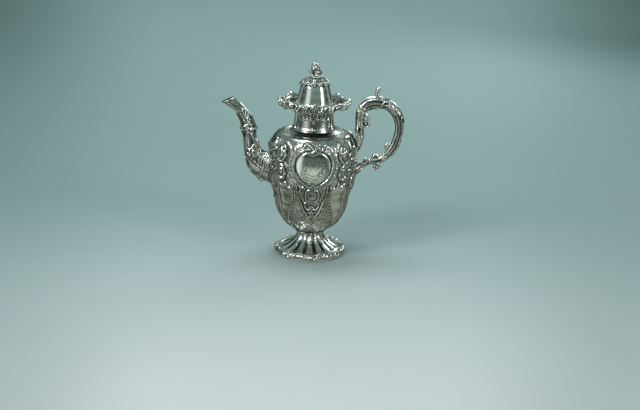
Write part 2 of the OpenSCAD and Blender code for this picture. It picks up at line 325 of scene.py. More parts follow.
def finish_mesh(name: str, bm: bmesh.types.BMesh, relief: np.ndarray | None = None) -> bpy.types.Object:
    """Makes a smooth-shaded object of a bmesh, which is freed.

    Args:
        name: name of the piece.
        bm: its shape, in metres in the pot's frame.
        relief: share of the chased height at each vertex, from 0 in a recess to 1; low values darken the
            finish with oxide and painted shade.

    Returns:
        The new object.
    """
    mesh = bpy.data.meshes.new(name)
    bm.to_mesh(mesh)
    bm.free()
    for polygon in mesh.polygons:
        polygon.use_smooth = True
    values = np.full(len(mesh.vertices), 0.7) if relief is None else relief
    attribute = mesh.attributes.new(RELIEF, "FLOAT", "POINT")
    attribute.data.foreach_set("value", values.astype(np.float32))
    piece = bpy.data.objects.new(name, mesh)
    bpy.context.scene.collection.objects.link(piece)
    return piece


def spun_form(outline: np.ndarray, segments: int) -> bmesh.types.BMesh:
    """Spins an outline of radius and height, in metres, a full turn about Z.

    A vertex layer named arc keeps each outline point's number.
    """
    bm = bmesh.new()
    arc = bm.verts.layers.float.new("arc")
    verts = []
    for n, (radius, height) in enumerate(outline):
        vert = bm.verts.new((radius, 0.0, height))
        vert[arc] = n
        verts.append(vert)
    for a, b in zip(verts, verts[1:]):
        bm.edges.new((a, b))
    bmesh.ops.spin(bm, geom=bm.verts[:] + bm.edges[:], cent=(0, 0, 0), axis=(0, 0, 1),
                   angle=TURN, steps=segments, use_merge=True, use_duplicate=False)
    bmesh.ops.remove_doubles(bm, verts=bm.verts[:], dist=1e-6)
    bmesh.ops.recalc_face_normals(bm, faces=bm.faces[:])
    bm.normal_update()
    return bm


def coordinates(bm: bmesh.types.BMesh) -> np.ndarray:
    """Positions of all vertices."""
    return np.array([v.co[:] for v in bm.verts])


def normals(bm: bmesh.types.BMesh) -> np.ndarray:
    """Normals of all vertices."""
    return np.array([v.normal[:] for v in bm.verts])


def put(bm: bmesh.types.BMesh, places: np.ndarray) -> None:
    """Moves every vertex to its new place."""
    for vert, place in zip(bm.verts, places):
        vert.co = place
    bm.normal_update()


def mapped_grid(across: int, along: int, place: Place) -> tuple[bmesh.types.BMesh, np.ndarray]:
    """A grid laid over a surface by a formula.

    Args:
        across: faces in the first direction.
        along: faces in the second direction.
        place: gives positions from shares u and v, which run from 0 to 1.

    Returns:
        The merged shape, and the shares u and v of its remaining vertices.
    """
    bm = bmesh.new()
    bmesh.ops.create_grid(bm, x_segments=across, y_segments=along, size=0.5)
    flat = coordinates(bm)
    low, span = flat.min(0), np.ptp(flat, axis=0)
    shares = (flat[:, :2] - low[:2]) / span[:2]
    u_layer = bm.verts.layers.float.new("u")
    v_layer = bm.verts.layers.float.new("v")
    for vert, (u, v) in zip(bm.verts, shares):
        vert[u_layer], vert[v_layer] = u, v
    put(bm, place(shares[:, 0], shares[:, 1]))
    bmesh.ops.remove_doubles(bm, verts=bm.verts[:], dist=2e-6)
    bmesh.ops.dissolve_degenerate(bm, edges=bm.edges[:], dist=1e-7)
    bmesh.ops.recalc_face_normals(bm, faces=bm.faces[:])
    bm.normal_update()
    kept = np.array([[v[u_layer], v[v_layer]] for v in bm.verts])
    return bm, kept


def joined(name: str, parts: Iterable[bpy.types.Object]) -> bpy.types.Object:
    """Joins several meshes into one named piece and removes the originals."""
    bm = bmesh.new()
    for part in list(parts):
        bm.from_mesh(part.data)
        mesh = part.data
        bpy.data.objects.remove(part)
        bpy.data.meshes.remove(mesh)
    bm.normal_update()
    layer = bm.verts.layers.float.get(RELIEF)
    relief = np.array([v[layer] for v in bm.verts])
    bm.verts.layers.float.remove(layer)
    return finish_mesh(name, bm, relief)


def settle(piece: bpy.types.Object, body: str, slot: Slot, material: bpy.types.Material,
           stands_for: Sequence[str] = ()) -> bpy.types.Object:
    """Gives a piece its finish, its body and the CAD nodes that it stands for."""
    piece.data.materials.clear()
    piece.data.materials.append(material)
    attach(piece, body)
    if stands_for:
        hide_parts(*stands_for)
    log.info("%s rides on %s, %d faces", piece.name, body, len(piece.data.polygons))
    return piece


@dataclass(frozen=True)
class Section:
    """One section of a swept arm, in millimetres; tilt is the angle of its up vector in degrees."""

    x: float
    z: float
    tilt: float
    half_height: float
    half_width: float


@dataclass
class Arm:
    """A swept form through sections that all lie in the pot's middle plane.

    Args:
        sections: from the root outwards.
        steps: intervals between two neighbouring sections.
        hand: 1 if it grows towards +X as drawn, -1 to mirror it.
    """

    sections: Sequence[Section]
    steps: int = 6
    hand: int = 1

    def __post_init__(self) -> None:
        """Works out the smooth run of sections and its length."""
        rows = [(s.x, s.z, s.tilt, s.half_height, s.half_width) for s in self.sections]
        self.rows = smooth_curve(rows, self.steps)
        self.length = run_length(self.rows)
        gaps = np.linalg.norm(np.diff(self.rows[:, :2], axis=0), axis=1)
        self.run = np.concatenate([[0.0], np.cumsum(gaps)]) / self.length

    def at(self, along: np.ndarray) -> np.ndarray:
        """Section values at shares of the length."""
        return np.stack([np.interp(along, self.run, column) for column in self.rows.T], axis=1)

    def middle(self, along: np.ndarray) -> np.ndarray:
        """Points on the middle line, in metres."""
        x, z = self.at(along)[:, :2].T
        return np.stack([self.hand * x, 0 * x, z], axis=1) * MM

    def surface(self, around: np.ndarray, along: np.ndarray, grow: np.ndarray | float) -> np.ndarray:
        """Points on the skin, in metres.

        Args:
            around: angle from the up vector, in radians.
            along: share of the length.
            grow: millimetres outside the plain form.
        """
        x, z, tilt, half_height, half_width = self.at(along).T
        up = (half_height + grow) * np.cos(around)
        out = (half_width + grow) * np.sin(around)
        t = np.radians(tilt)
        return np.stack([self.hand * (x + up * np.cos(t)), out, z + up * np.sin(t)], axis=1) * MM


@dataclass
class SideRelief:
    """Relief of an arm that is the same on both flanks.

    Args:
        arm: the arm.
        radius: mean radius that turns angles into millimetres.
        reeds: reeds around the whole girth, or 0.
        reed_depth: depth of the grooves between the reeds.
    """

    arm: Arm
    radius: float
    reeds: int = 0
    reed_depth: float = 0.0
    cells: ReliefMap = field(init=False)

    def __post_init__(self) -> None:
        """Starts with a smooth flank; across runs from 0 on the up side to half the girth."""
        self.cells = ReliefMap(width=2 * math.pi * self.radius + 8, low=-2.0, high=self.arm.length + 2,
                               step=0.3)

    @property
    def girth(self) -> float:
        """Half the way round, in millimetres."""
        return math.pi * self.radius

    def at_height(self, z: float) -> float:
        """Distance along the arm at which its middle line is at a height."""
        return float(np.interp(z, self.arm.rows[:, 1], self.arm.run) * self.arm.length)

    def _groove(self, folded: np.ndarray, height: np.ndarray) -> np.ndarray:
        """Share of the depth of the grooves between the reeds, which stop where a leaf lies over them."""
        return (1 - np.abs(np.cos(folded * self.reeds / 2)) ** 0.6) * np.clip(1.0 - height / 0.5, 0, 1)

    def __call__(self, around: np.ndarray, along: np.ndarray) -> np.ndarray:
        """Height of the relief in millimetres."""
        folded = np.abs(np.mod(around + math.pi, TURN) - math.pi)
        height = self.cells.heights(folded * self.radius, along * self.arm.length)
        return height - self.reed_depth * self._groove(folded, height) if self.reeds else height

    def exposure(self, around: np.ndarray, along: np.ndarray) -> np.ndarray:
        """How open each place is, from 0 to 1; it sets the oxide and the painted shade of the finish."""
        folded = np.abs(np.mod(around + math.pi, TURN) - math.pi)
        across, run = folded * self.radius, along * self.arm.length
        share = self.cells.exposure(across, run, 1.8, 0.8)
        if self.reeds:
            groove = self._groove(folded, self.cells.heights(across, run))
            share = np.clip(share + 0.3 * (1 - share) - 1.1 * groove, 0.0, 1.0)
        return share


def arm_skin(name: str, arm: Arm, sides: int, rings: int, relief: SideRelief,
             wall: float = 0.0) -> bpy.types.Object:
    """A swept arm with chased relief; with a wall it is a tube, and without one it is closed.

    Args:
        name: name of the piece.
        arm: its sections.
        sides: faces around.
        rings: faces along.
        relief: its chased flanks.
        wall: thickness of a tube, or 0 for closed ends.

    Returns:
        The piece.
    """
    def share(v: np.ndarray) -> np.ndarray:
        """Share of the arm's length, out and back again for a tube."""
        return np.clip(v * 2, 0, 1) - np.clip(v * 2 - 1, 0, 1) if wall else np.clip(
            (v - 0.02) / 0.96, 0, 1)

    def place(u: np.ndarray, v: np.ndarray) -> np.ndarray:
        """Places of the skin."""
        around, along = u * TURN, share(v)
        outside = relief(around, along)
        if wall:
            return arm.surface(around, along, np.where((v > 0.5) & (v < 0.9995), -wall, outside))
        skin = arm.surface(around, along, outside)
        middle = arm.middle(along)
        shut = np.clip(np.minimum(v, 1 - v) / 0.02, 0, 1) ** 0.5
        return middle + (skin - middle) * shut[:, None]

    bm, shares = mapped_grid(sides, rings, place)
    open_share = relief.exposure(shares[:, 0] * TURN, share(shares[:, 1]))
    inner = (shares[:, 1] > 0.5) if wall else np.zeros(len(shares), bool)
    # Inside walls get painted shade.
    return finish_mesh(name, bm, np.where(inner, INSIDE_PAINTED_SHADE, open_share))


def tube(name: str, line: np.ndarray, radii: Sequence[float], flat: float = 1.0,
         sides: int = 10, tone: float = 0.8) -> bpy.types.Object:
    """A round wire along a line, closed at both ends.

    Args:
        name: name of the piece.
        line: points in millimetres.
        radii: radii spread evenly along the line, in millimetres.
        flat: squash of the section along Y.
        sides: faces around.
        tone: relief share given to the whole wire.

    Returns:
        The piece.
    """
    count = len(line)
    tangent = np.gradient(line, axis=0)
    tangent /= np.linalg.norm(tangent, axis=1)[:, None]
    side = np.cross(tangent, np.array([0.0, 1.0, 0.0]))
    size = np.linalg.norm(side, axis=1)[:, None]
    side = np.where(size > 0.05, side / np.maximum(size, 1e-9), np.array([1.0, 0.0, 0.0]))
    lift = np.cross(side, tangent)
    radius = np.interp(np.linspace(0, 1, count), np.linspace(0, 1, len(radii)), radii)
    caps = np.minimum(np.arange(count), np.arange(count)[::-1]) / 1.5
    radius = radius * np.clip(caps, 0, 1) ** 0.5

    def place(u: np.ndarray, v: np.ndarray) -> np.ndarray:
        """Places of the tube's surface."""
        row = np.rint(v * (count - 1)).astype(int)
        a = u * TURN
        offset = (side[row] * np.cos(a)[:, None] + lift[row] * np.sin(a)[:, None] * flat)
        return (line[row] + offset * radius[row][:, None]) * MM

    bm, _ = mapped_grid(sides, count - 1, place)
    return finish_mesh(name, bm, np.full(len(bm.verts), tone))


def ball(name: str, at: Sequence[float], radii: Sequence[float], tone: float = 1.0) -> bpy.types.Object:
    """A small rounded boss at a place in millimetres."""
    bm = bmesh.new()
    bmesh.ops.create_uvsphere(bm, u_segments=20, v_segments=12, radius=1.0)
    bmesh.ops.scale(bm, verts=bm.verts[:], vec=Vector(radii) * MM)
    bmesh.ops.translate(bm, verts=bm.verts[:], vec=Vector(at) * MM)
    return finish_mesh(name, bm, np.full(len(bm.verts), tone))


@dataclass(frozen=True)
class LeafShape:
    """Form of a cast leaf, in millimetres.

    Args:
        length: from base to tip.
        width: half-width at its widest.
        lobes: lobes on each side.
        lobe_depth: share of the width that the gaps between the lobes cut away.
        rib: height of the midrib.
        crown: how far the middle stands above the edges.
        shine: brightness of its highest places, from 0 to 1; its lower places are darkened with oxide and
            painted shade.
    """

    length: float
    width: float
    lobes: int = 4
    lobe_depth: float = 0.22
    rib: float = 0.9
    crown: float = 1.2
    shine: float = 1.0


def leaf_blade(name: str, shape: LeafShape, seat: Callable[[np.ndarray, np.ndarray, np.ndarray],
               np.ndarray], across: int = 22, along: int = 44) -> bpy.types.Object:
    """A lobed leaf with a midrib and veins, laid by a seat function.

    Args:
        name: name of the piece.
        shape: its size and lobes.
        seat: gives metres from the distance across, the distance along and the height,
            all in millimetres.
        across: faces across the leaf.
        along: faces along it.

    Returns:
        The leaf, thickened.
    """
    def form(u: np.ndarray, v: np.ndarray) -> tuple[np.ndarray, np.ndarray, np.ndarray]:
        """Distance across, distance along and height of each place of the leaf."""
        side = u * 2 - 1
        body = np.clip(np.sin(math.pi * (0.16 + 0.84 * v)), 0.0, 1.0) ** 0.6
        saw = np.abs(np.sin(math.pi * shape.lobes * v)) ** 0.6
        half = shape.width * body * (1 - shape.lobe_depth + shape.lobe_depth * saw)
        rib = shape.rib * np.exp(-((side / 0.16) ** 2))
        vein = 0.35 * shape.rib * np.sin(TURN * (shape.lobes * v - 0.9 * np.abs(side))) * np.abs(side)
        crown = shape.crown * (1 - side**2)
        return side * half, v * shape.length + 0.12 * shape.width * np.abs(side), rib + vein + crown

    bm, shares = mapped_grid(across, along, lambda u, v: seat(*form(u, v)))
    height = form(shares[:, 0], shares[:, 1])[2]
    span = max(float(np.ptp(height)), 0.1)
    # Tone rises from the leaf's low edges to its crown: oxide and painted shade in the low places.
    tone = bm.verts.layers.float.new("tone")
    for vert, value in zip(bm.verts, 0.08 + (shape.shine - 0.08) * (height - height.min()) / span):
        vert[tone] = value
    bmesh.ops.solidify(bm, geom=bm.faces[:], thickness=LEAF_WALL * MM)
    bmesh.ops.recalc_face_normals(bm, faces=bm.faces[:])
    return finish_mesh(name, bm, np.array([v[tone] for v in bm.verts]))


# ---------------------------------------------------------------- finishes

Colour = tuple[float, float, float]


def new_group(name: str, inputs: dict[str, str], outputs: dict[str, str]) -> bpy.types.NodeTree:
    """An empty shader node group with the given sockets, by name and kind."""
    tree = bpy.data.node_groups.new(name, "ShaderNodeTree")
    for label, kind in inputs.items():
        tree.interface.new_socket(label, in_out="INPUT", socket_type=f"NodeSocket{kind}")
    for label, kind in outputs.items():
        tree.interface.new_socket(label, in_out="OUTPUT", socket_type=f"NodeSocket{kind}")
    return tree


class Wiring:
    """Adds and links the nodes of one tree."""

    def __init__(self, tree: bpy.types.NodeTree) -> None:
        """Keeps the tree."""
        self.tree = tree

    def node(self, kind: str, **settings: object) -> bpy.types.Node:
        """Adds a node and sets its properties."""
        node = self.tree.nodes.new(f"ShaderNode{kind}")
        for key, value in settings.items():
            setattr(node, key, value)
        return node

    def group_end(self, output: bool) -> bpy.types.Node:
        """Adds the group's input or output node."""
        return self.tree.nodes.new("NodeGroupOutput" if output else "NodeGroupInput")

    def link(self, start: bpy.types.NodeSocket, end: bpy.types.NodeSocket) -> None:
        """Links two sockets."""
        self.tree.links.new(start, end)

    def math(self, operation: str, *values: object) -> bpy.types.NodeSocket:
        """A maths node fed by sockets or numbers."""
        node = self.node("Math", operation=operation)
        for socket, value in zip(node.inputs, values):
            if isinstance(value, bpy.types.NodeSocket):
                self.link(value, socket)
            else:
                socket.default_value = float(value)
        return node.outputs[0]

    def noise(self, where: bpy.types.NodeSocket, scale: float, detail: float = 3.0) -> bpy.types.NodeSocket:
        """Noise read at a place; scale is per metre."""
        node = self.node("TexNoise")
        self.link(where, node.inputs["Vector"])
        node.inputs["Scale"].default_value = scale
        node.inputs["Detail"].default_value = detail
        return node.outputs["Fac"]

    def span(self, value: bpy.types.NodeSocket, low: float, high: float, start: float,
             end: float) -> bpy.types.NodeSocket:
        """Maps a value from one range to another, smoothly and held at the ends."""
        node = self.node("MapRange", interpolation_type="SMOOTHSTEP")
        self.link(value, node.inputs["Value"])
        for label, number in zip(("From Min", "From Max", "To Min", "To Max"), (low, high, start, end)):
            node.inputs[label].default_value = number
        return node.outputs["Result"]

    def mix(self, share: bpy.types.NodeSocket, a: object, b: object) -> bpy.types.NodeSocket:
        """Mixes two colours."""
        node = self.node("Mix", data_type="RGBA")
        self.link(share, node.inputs["Factor"])
        for socket, value in ((node.inputs[MIX_A], a), (node.inputs[MIX_B], b)):
            if isinstance(value, bpy.types.NodeSocket):
                self.link(value, socket)
            else:
                socket.default_value = (*value, 1.0)
        return node.outputs[MIX_RESULT]


def blank_material(name: str) -> tuple[bpy.types.Material, Wiring]:
    """An empty node material and the wiring of its tree."""
    made = bpy.data.materials.new(name)
    made.use_nodes = True
    made.node_tree.nodes.clear()
    return made, Wiring(made.node_tree)


def oxide_and_shade_group() -> bpy.types.NodeTree:
    """Colour of worn silver: bright on the heights, darkened in the hollows, partly as oxide where a cloth
    doesn't reach and partly as painted shade.
    """
    tree = new_group("oxide_and_shade_tree", {"Place": "Vector", "Bright": "Color", "Dark": "Color",
                                 "Relief": "Float", "Depth": "Float"},
                     {"Colour": "Color", "Shade": "Float"})
    w = Wiring(tree)
    source, end = w.group_end(False), w.group_end(True)
    cloud = w.noise(source.outputs["Place"], 34.0, 4.0)
    grain = w.noise(source.outputs["Place"], 420.0, 2.0)
    level = w.math("ADD", source.outputs["Relief"], w.math("MULTIPLY", w.math("SUBTRACT", grain, 0.45), 0.3))
    # Painted shade and oxide: low relief values pull the colour towards the dark tone.
    recess = w.math("MULTIPLY", w.span(level, 0.22, 0.7, 1.0, 0.0), source.outputs["Depth"])
    haze = w.span(cloud, 0.42, 0.75, 0.0, 0.16)
    shade = w.math("MINIMUM", w.math("ADD", recess, haze), 1.0)
    w.link(w.mix(shade, source.outputs["Bright"], source.outputs["Dark"]), end.inputs["Colour"])
    w.link(shade, end.inputs["Shade"])
    return tree


def handling_group() -> bpy.types.NodeTree:
    """Fine scratches and polishing marks: a roughness and a height, both driven by place."""
    tree = new_group("handling", {"Place": "Vector", "Roughness": "Float", "Marks": "Float"},
                     {"Roughness": "Float", "Height": "Float"})
    w = Wiring(tree)
    source, end = w.group_end(False), w.group_end(True)
    place = source.outputs["Place"]
    stretch = w.node("Mapping")
    w.link(place, stretch.inputs["Vector"])
    stretch.inputs["Scale"].default_value = (1.0, 1.0, 9.0)
    stretch.inputs["Rotation"].default_value = (0.3, 0.2, 0.0)
    hair = w.noise(stretch.outputs["Vector"], 260.0, 5.0)
    smear = w.noise(place, 22.0, 3.0)
    marks = source.outputs["Marks"]
    lift = w.math("MULTIPLY", w.span(smear, 0.35, 0.7, 0.0, 0.13), marks)
    scratch = w.math("MULTIPLY", w.span(hair, 0.55, 0.75, 0.0, 0.1), marks)
    w.link(w.math("ADD", source.outputs["Roughness"], w.math("ADD", lift, scratch)), end.inputs["Roughness"])
    planish = w.noise(place, 95.0, 1.0)
    w.link(w.math("ADD", w.math("MULTIPLY", planish, 0.8), w.math("MULTIPLY", hair, 0.05)),
           end.inputs["Height"])
    return tree


@dataclass(frozen=True)
class SilverFinish:
    """One silver finish.

    Args:
        name: name of the material.
        bright: colour of the rubbed metal.
        dark: colour in the recesses, for both oxide and painted shade.
        roughness: roughness of the rubbed metal.
        depth: how far the recesses darken with oxide and painted shade, 0 where the mesh carries no relief.
        matting: depth of the punched ground, in millimetres.
        planish: depth of the hammering, in millimetres.
        marks: strength of scratches and smears.
    """

    name: str
    bright: Colour
    dark: Colour
    roughness: float
    depth: float = 0.0
    matting: float = 0.0
    planish: float = 0.02
    marks: float = 1.0

    def material(self, oxide_and_shade_tree: bpy.types.NodeTree, handling: bpy.types.NodeTree) -> bpy.types.Material:
        """Builds the material around the shared groups."""
        made, w = blank_material(self.name)
        place = w.node("TexCoord").outputs["Object"]
        # Oxide and painted shade darken the recesses through this group.
        oxide_and_shade_node = w.node("Group", node_tree=oxide_and_shade_tree)
        w.link(place, oxide_and_shade_node.inputs["Place"])
        oxide_and_shade_node.inputs["Bright"].default_value = (*self.bright, 1.0)
        oxide_and_shade_node.inputs["Dark"].default_value = (*self.dark, 1.0)
        oxide_and_shade_node.inputs["Depth"].default_value = self.depth
        if self.depth:
            relief = w.node("Attribute", attribute_name=RELIEF).outputs["Fac"]
            w.link(relief, oxide_and_shade_node.inputs["Relief"])
        wear = w.node("Group", node_tree=handling)
        w.link(place, wear.inputs["Place"])
        wear.inputs["Roughness"].default_value = self.roughness
        wear.inputs["Marks"].default_value = self.marks
        shader = w.node("BsdfPrincipled")
        shader.inputs["Metallic"].default_value = 1.0
        w.link(oxide_and_shade_node.outputs["Colour"], shader.inputs["Base Color"])
        rough = w.math("ADD", wear.outputs["Roughness"], w.math("MULTIPLY", oxide_and_shade_node.outputs["Shade"], 0.16))
        w.link(rough, shader.inputs["Roughness"])
        height = w.math("MULTIPLY", wear.outputs["Height"], self.planish * MM)
        if self.matting:
            punch = w.node("TexVoronoi", feature="F1")
            w.link(place, punch.inputs["Vector"])
            punch.inputs["Scale"].default_value = 900.0
            low = w.span(oxide_and_shade_node.outputs["Shade"], 0.1, 0.7, 0.0, 1.0)
            dimple = w.math("MULTIPLY", w.math("MULTIPLY", punch.outputs["Distance"], low),
                            self.matting * MM)
            height = w.math("ADD", height, dimple)
        bump = w.node("Bump")
        bump.inputs["Distance"].default_value = 1.0
        w.link(height, bump.inputs["Height"])
        w.link(bump.outputs["Normal"], shader.inputs["Normal"])
        w.link(shader.outputs[0], w.node("OutputMaterial").inputs["Surface"])
        return made


@dataclass(frozen=True)
class IvoryFinish:
    """Ivory of the two insulating washers."""

    name: str = "ivory"
    pale: Colour = (0.80, 0.70, 0.50)
    aged: Colour = (0.50, 0.36, 0.19)
    roughness: float = 0.34

    def material(self) -> bpy.types.Material:
        """Builds the grained and slightly translucent material."""
        made, w = blank_material(self.name)
        place = w.node("TexCoord").outputs["Object"]
        rings = w.node("TexWave", wave_type="RINGS")
        w.link(place, rings.inputs["Vector"])
        rings.inputs["Scale"].default_value = 260.0
        rings.inputs["Distortion"].default_value = 3.0
        rings.inputs["Detail"].default_value = 2.0
        crack = w.noise(place, 380.0, 6.0)
        grain = w.math("MULTIPLY", rings.outputs["Fac"], 0.45)
        age = w.math("ADD", grain, w.span(crack, 0.5, 0.75, 0.0, 0.5))
        shader = w.node("BsdfPrincipled")
        w.link(w.mix(age, self.pale, self.aged), shader.inputs["Base Color"])
        w.link(w.math("ADD", w.math("MULTIPLY", crack, 0.15), self.roughness), shader.inputs["Roughness"])
        shader.inputs["Subsurface Weight"].default_value = 0.15
        shader.inputs["Subsurface Radius"].default_value = (0.002, 0.001, 0.0006)
        bump = w.node("Bump")
        bump.inputs["Distance"].default_value = 1.0
        w.link(w.math("MULTIPLY", age, 0.00003), bump.inputs["Height"])
        w.link(bump.outputs["Normal"], shader.inputs["Normal"])
        w.link(shader.outputs[0], w.node("OutputMaterial").inputs["Surface"])
        return made


class Finishes:
    """All materials of the pot."""

    def __init__(self) -> None:
        """Builds the shared groups and every material."""
        oxide_and_shade_tree, handling = oxide_and_shade_group(), handling_group()
        bright = (0.93, 0.94, 0.89)
        # Dark tone of the hollows, for oxide and painted shade alike.
        dark = (0.022, 0.034, 0.028)

        def silver(name: str, roughness: float, **more: float) -> bpy.types.Material:
            """One silver finish in the pot's two tones."""
            return SilverFinish(name, bright, dark, roughness, **more).material(oxide_and_shade_tree, handling)

        self.polished = silver("polished_silver", 0.06, planish=0.02)
        self.chased = silver("chased_silver", 0.07, depth=0.93, matting=0.16, planish=0.03)
        self.cast = silver("cast_silver", 0.10, depth=0.95, matting=0.1, planish=0.05)
        self.plain = silver("plain_silver", 0.2, planish=0.04, marks=1.4)
        self.cast_plain = silver("cast_silver_plain", 0.2, planish=0.1, marks=1.4)
        self.ivory = IvoryFinish().material()

    def dress_nodes(self, nodes: dict[str, bpy.types.Object], slots: dict[str, Slot]) -> None:
        """Gives every CAD node the finish of its slot."""
        by_slot = {Slot.POLISHED: self.polished, Slot.CHASED: self.plain, Slot.CAST: self.cast_plain,
                   Slot.PLAIN: self.plain, Slot.IVORY: self.ivory}
        for name, node in nodes.items():
            node.data.materials.clear()
            node.data.materials.append(by_slot[slots.get(name, Slot.POLISHED)])


NODE_SLOTS: dict[str, Slot] = {
    **{n: Slot.CHASED for n in ("body_shell", "neck")},
    **{n: Slot.CAST for n in ("foot_border", "stem_collar", "brim_border", "spout_collar", "upper_curl",
                              "thumb_spur", "lower_curls", "lid_calyx", "finial_leaves", "finial_bud")},
    **{n: Slot.PLAIN for n in ("hinge_pin", "upper_pins", "lower_pins", "finial_stud", "finial_washer",
                               "finial_nut")},
    **{n: Slot.IVORY for n in ("upper_insulator", "lower_insulator")},
}


# ---------------------------------------------------------------- the vessel

FRONT_HALF = math.pi / 2


def azimuths(places: np.ndarray) -> np.ndarray:
    """Azimuth of each place from the front, positive towards the handle."""
    return np.arctan2(places[:, 0], -places[:, 1])


def radii_of(places: np.ndarray) -> np.ndarray:
    """Distance of each place from the pot's axis, in millimetres."""
    return np.hypot(places[:, 0], places[:, 1]) / MM


def mirrored_azimuth(x: np.ndarray, y: np.ndarray) -> np.ndarray:
    """Azimuth from the front, positive towards the handle, with the back folded over the front."""
    a = np.arctan2(x, -y)
    return np.where(np.abs(a) > FRONT_HALF, np.sign(a) * math.pi - a, a)


@dataclass
class Chaser:
    """Chases the pot's front, which is repeated on its back; places are arc and height in mm.

    Args:
        seed: seed of the filling leafwork.
    """

    seed: int = 7

    def body(self) -> ReliefMap:
        """Relief of the body: medallion, scrolls, shield, ribbon bands and foliage."""
        m = ReliefMap(width=234.0, low=40.0, high=221.0)
        self._foliage(m)
        self._shield(m)
        self._panels(m)
        self._scrolls(m)
        self._medallion(m)
        self._shoulder(m)
        return m

    def _clear(self, m: ReliefMap, at: Sequence[float], radii: Sequence[float], height: float) -> None:
        """Sets a smooth oval cushion in place of whatever is there."""
        rows, columns = np.indices(m.raised.shape)
        s = columns * m.step - m.width / 2
        z = rows * m.step + m.low
        out = ((s - at[0]) / radii[0]) ** 2 + ((z - at[1]) / radii[1]) ** 2
        edge = np.clip((1.0 - out) / 0.12, 0.0, 1.0)
        cushion = height * np.sqrt(np.clip(1.0 - out, 0.0, 1.0))
        m.raised += (cushion - m.raised) * edge
        m.cut *= 1.0 - edge
        m.burnished = np.maximum(m.burnished, np.clip((0.72 - out) / 0.1, 0.0, 0.72))

    def _bold(self, m: ReliefMap, line: np.ndarray, widths: Sequence[float], height: float) -> None:
        """Raises a line out of a sunk channel, so that it stands in a dark outline."""
        m.stroke(line, [width + 1.5 for width in widths], 1.7, cut=True, round_top=0.3)
        m.stroke(line, widths, height + 1.7)

    def _medallion(self, m: ReliefMap) -> None:
        """The polished shield-shaped mirror in its double scroll frame, open at the top and foot."""
        middle_s, middle_z = MEDALLION
        half_s, half_z = MEDALLION_HALF
        self._clear(m, MEDALLION, (36.0, 35.0), 2.6)
        for hand in (-1, 1):
            a = np.radians(np.linspace(101, 262, 60))
            taper = 1.0 + 0.13 * np.sin(a)

            def ring(extra_s: float, extra_z: float) -> np.ndarray:
                """Half of the frame's oval, made larger by the given amounts."""
                return np.stack([middle_s + hand * (half_s + extra_s) * np.cos(a) * taper,
                                 middle_z + (half_z + extra_z) * np.sin(a)], 1)

            m.stroke(ring(0.0, 0.0), (1.2, 1.7, 1.2), 3.2)
            m.stroke(ring(-3.6, -3.2), (1.0, 1.3, 1.0), 2.4, cut=True, round_top=0.8)
            m.stroke(ring(4.0, 4.0), (1.5, 2.0, 1.5), 2.4, cut=True, round_top=0.7)
        self._bold(m, scroll_line((-6.0, 205.0), 19.0, 150, Scroll.C, 6.0), (2.4, 2.4, 1.4), 3.4)
        self._bold(m, scroll_line((10.5, 203.6), 14.0, -160, Scroll.C, 6.0), (1.5, 1.9, 1.2), 3.0)
        for low, high in ((156.0, 163.0), (150.0, 156.5), (146.0, 151.0)):
            hill = smooth_curve([(-20.0, low), (-9.0, high), (3.0, low + 2), (14.0, high + 2),
                                 (24.0, low + 1)], 12)
            m.stroke(hill, (0.5,), 0.45, cut=True)
        for s, z, size in ((-16.0, 166.0, 7.0), (-11.0, 170.0, 5.0), (17.0, 172.0, 9.0),
                           (11.0, 164.0, 6.0)):
            m.stroke(np.array([[s, z - size], [s + 0.6, z]]), (0.5, 0.4), 0.5, cut=True)
            m.stroke(scroll_line((s, z), size, 40, Scroll.S, 5.0), (0.5, 0.7, 0.5), 0.5, cut=True)
        for hand in (-1, 1):
            for a in range(-60, 75, 17):
                turn = math.radians(a)
                reach = 1.0 + 0.13 * math.sin(turn)
                base = (middle_s + hand * 39.5 * math.cos(turn) * reach, middle_z + 38.0 * math.sin(turn))
                tip = (base[0] + hand * 7.5 * math.cos(turn + 0.6), base[1] + 7.5 * math.sin(turn + 0.6))
                m.leaf(base, tip, 3.0, 1.7, lobes=3)
        m.fan((0.5, 146.0), 12.0, -90, 130, 7, 3.0)
        m.stroke(scroll_line((-9.0, 139.0), 11.0, 20, Scroll.C, 6.0), (1.5, 1.8, 1.0), 2.8)
        m.stroke(scroll_line((10.0, 139.0), 11.0, -20, Scroll.C, 6.0, flip=True), (1.5, 1.8, 1.0), 2.8)

    def _scrolls(self, m: ReliefMap) -> None:
        """Big C-scrolls beside the medallion and the ring of two scrolls below it."""
        for s, z, size, turn in ((-55, 189, 29, 70), (-55, 160, 25, 100), (56, 188, 29, -74),
                                 (55, 161, 25, -104)):
            flip = s > 0
            line = scroll_line((s, z), size, turn, Scroll.C, 6.2, flip=flip)
            hollow = scroll_line((s, z), size * 0.68, turn, Scroll.C, 6.2, flip=flip)
            m.stroke(hollow, (1.8, 2.6, 1.8), 2.6, cut=True, round_top=0.8)
            self._bold(m, line, (2.2, 3.4, 2.2), 3.0)
            hand = math.copysign(1.0, s)
            m.spot((s - hand * 2.5, z - 1.5), 2.6, 3.4)
            m.leaf((s + hand * 2, z - 4), (s + hand * 15, z + 8), 5.0, 2.4, bend=3.0 * hand)
            m.leaf((s - hand * 6, z + 12), (s - hand * 1, z + 21), 3.4, 2.0)
            m.flower((s + hand * 9, z - 11), 3.6, 2.6)
        for hand, turn in ((-1, -90), (1, 90)):
            line = scroll_line((1.2 + hand * 7.6, 121.5), 23.0, turn, Scroll.C, 5.4)
            self._bold(m, line, (1.3, 2.2, 1.3), 2.4)
        for n in range(-3, 4):
            m.stroke(np.array([[1.2 + n * 2.0 - 3, 113.0], [1.2 + n * 2.0 + 3, 130.0]]), (0.35,), 0.8)
            m.stroke(np.array([[1.2 + n * 2.0 + 3, 113.0], [1.2 + n * 2.0 - 3, 130.0]]), (0.35,), 0.8)

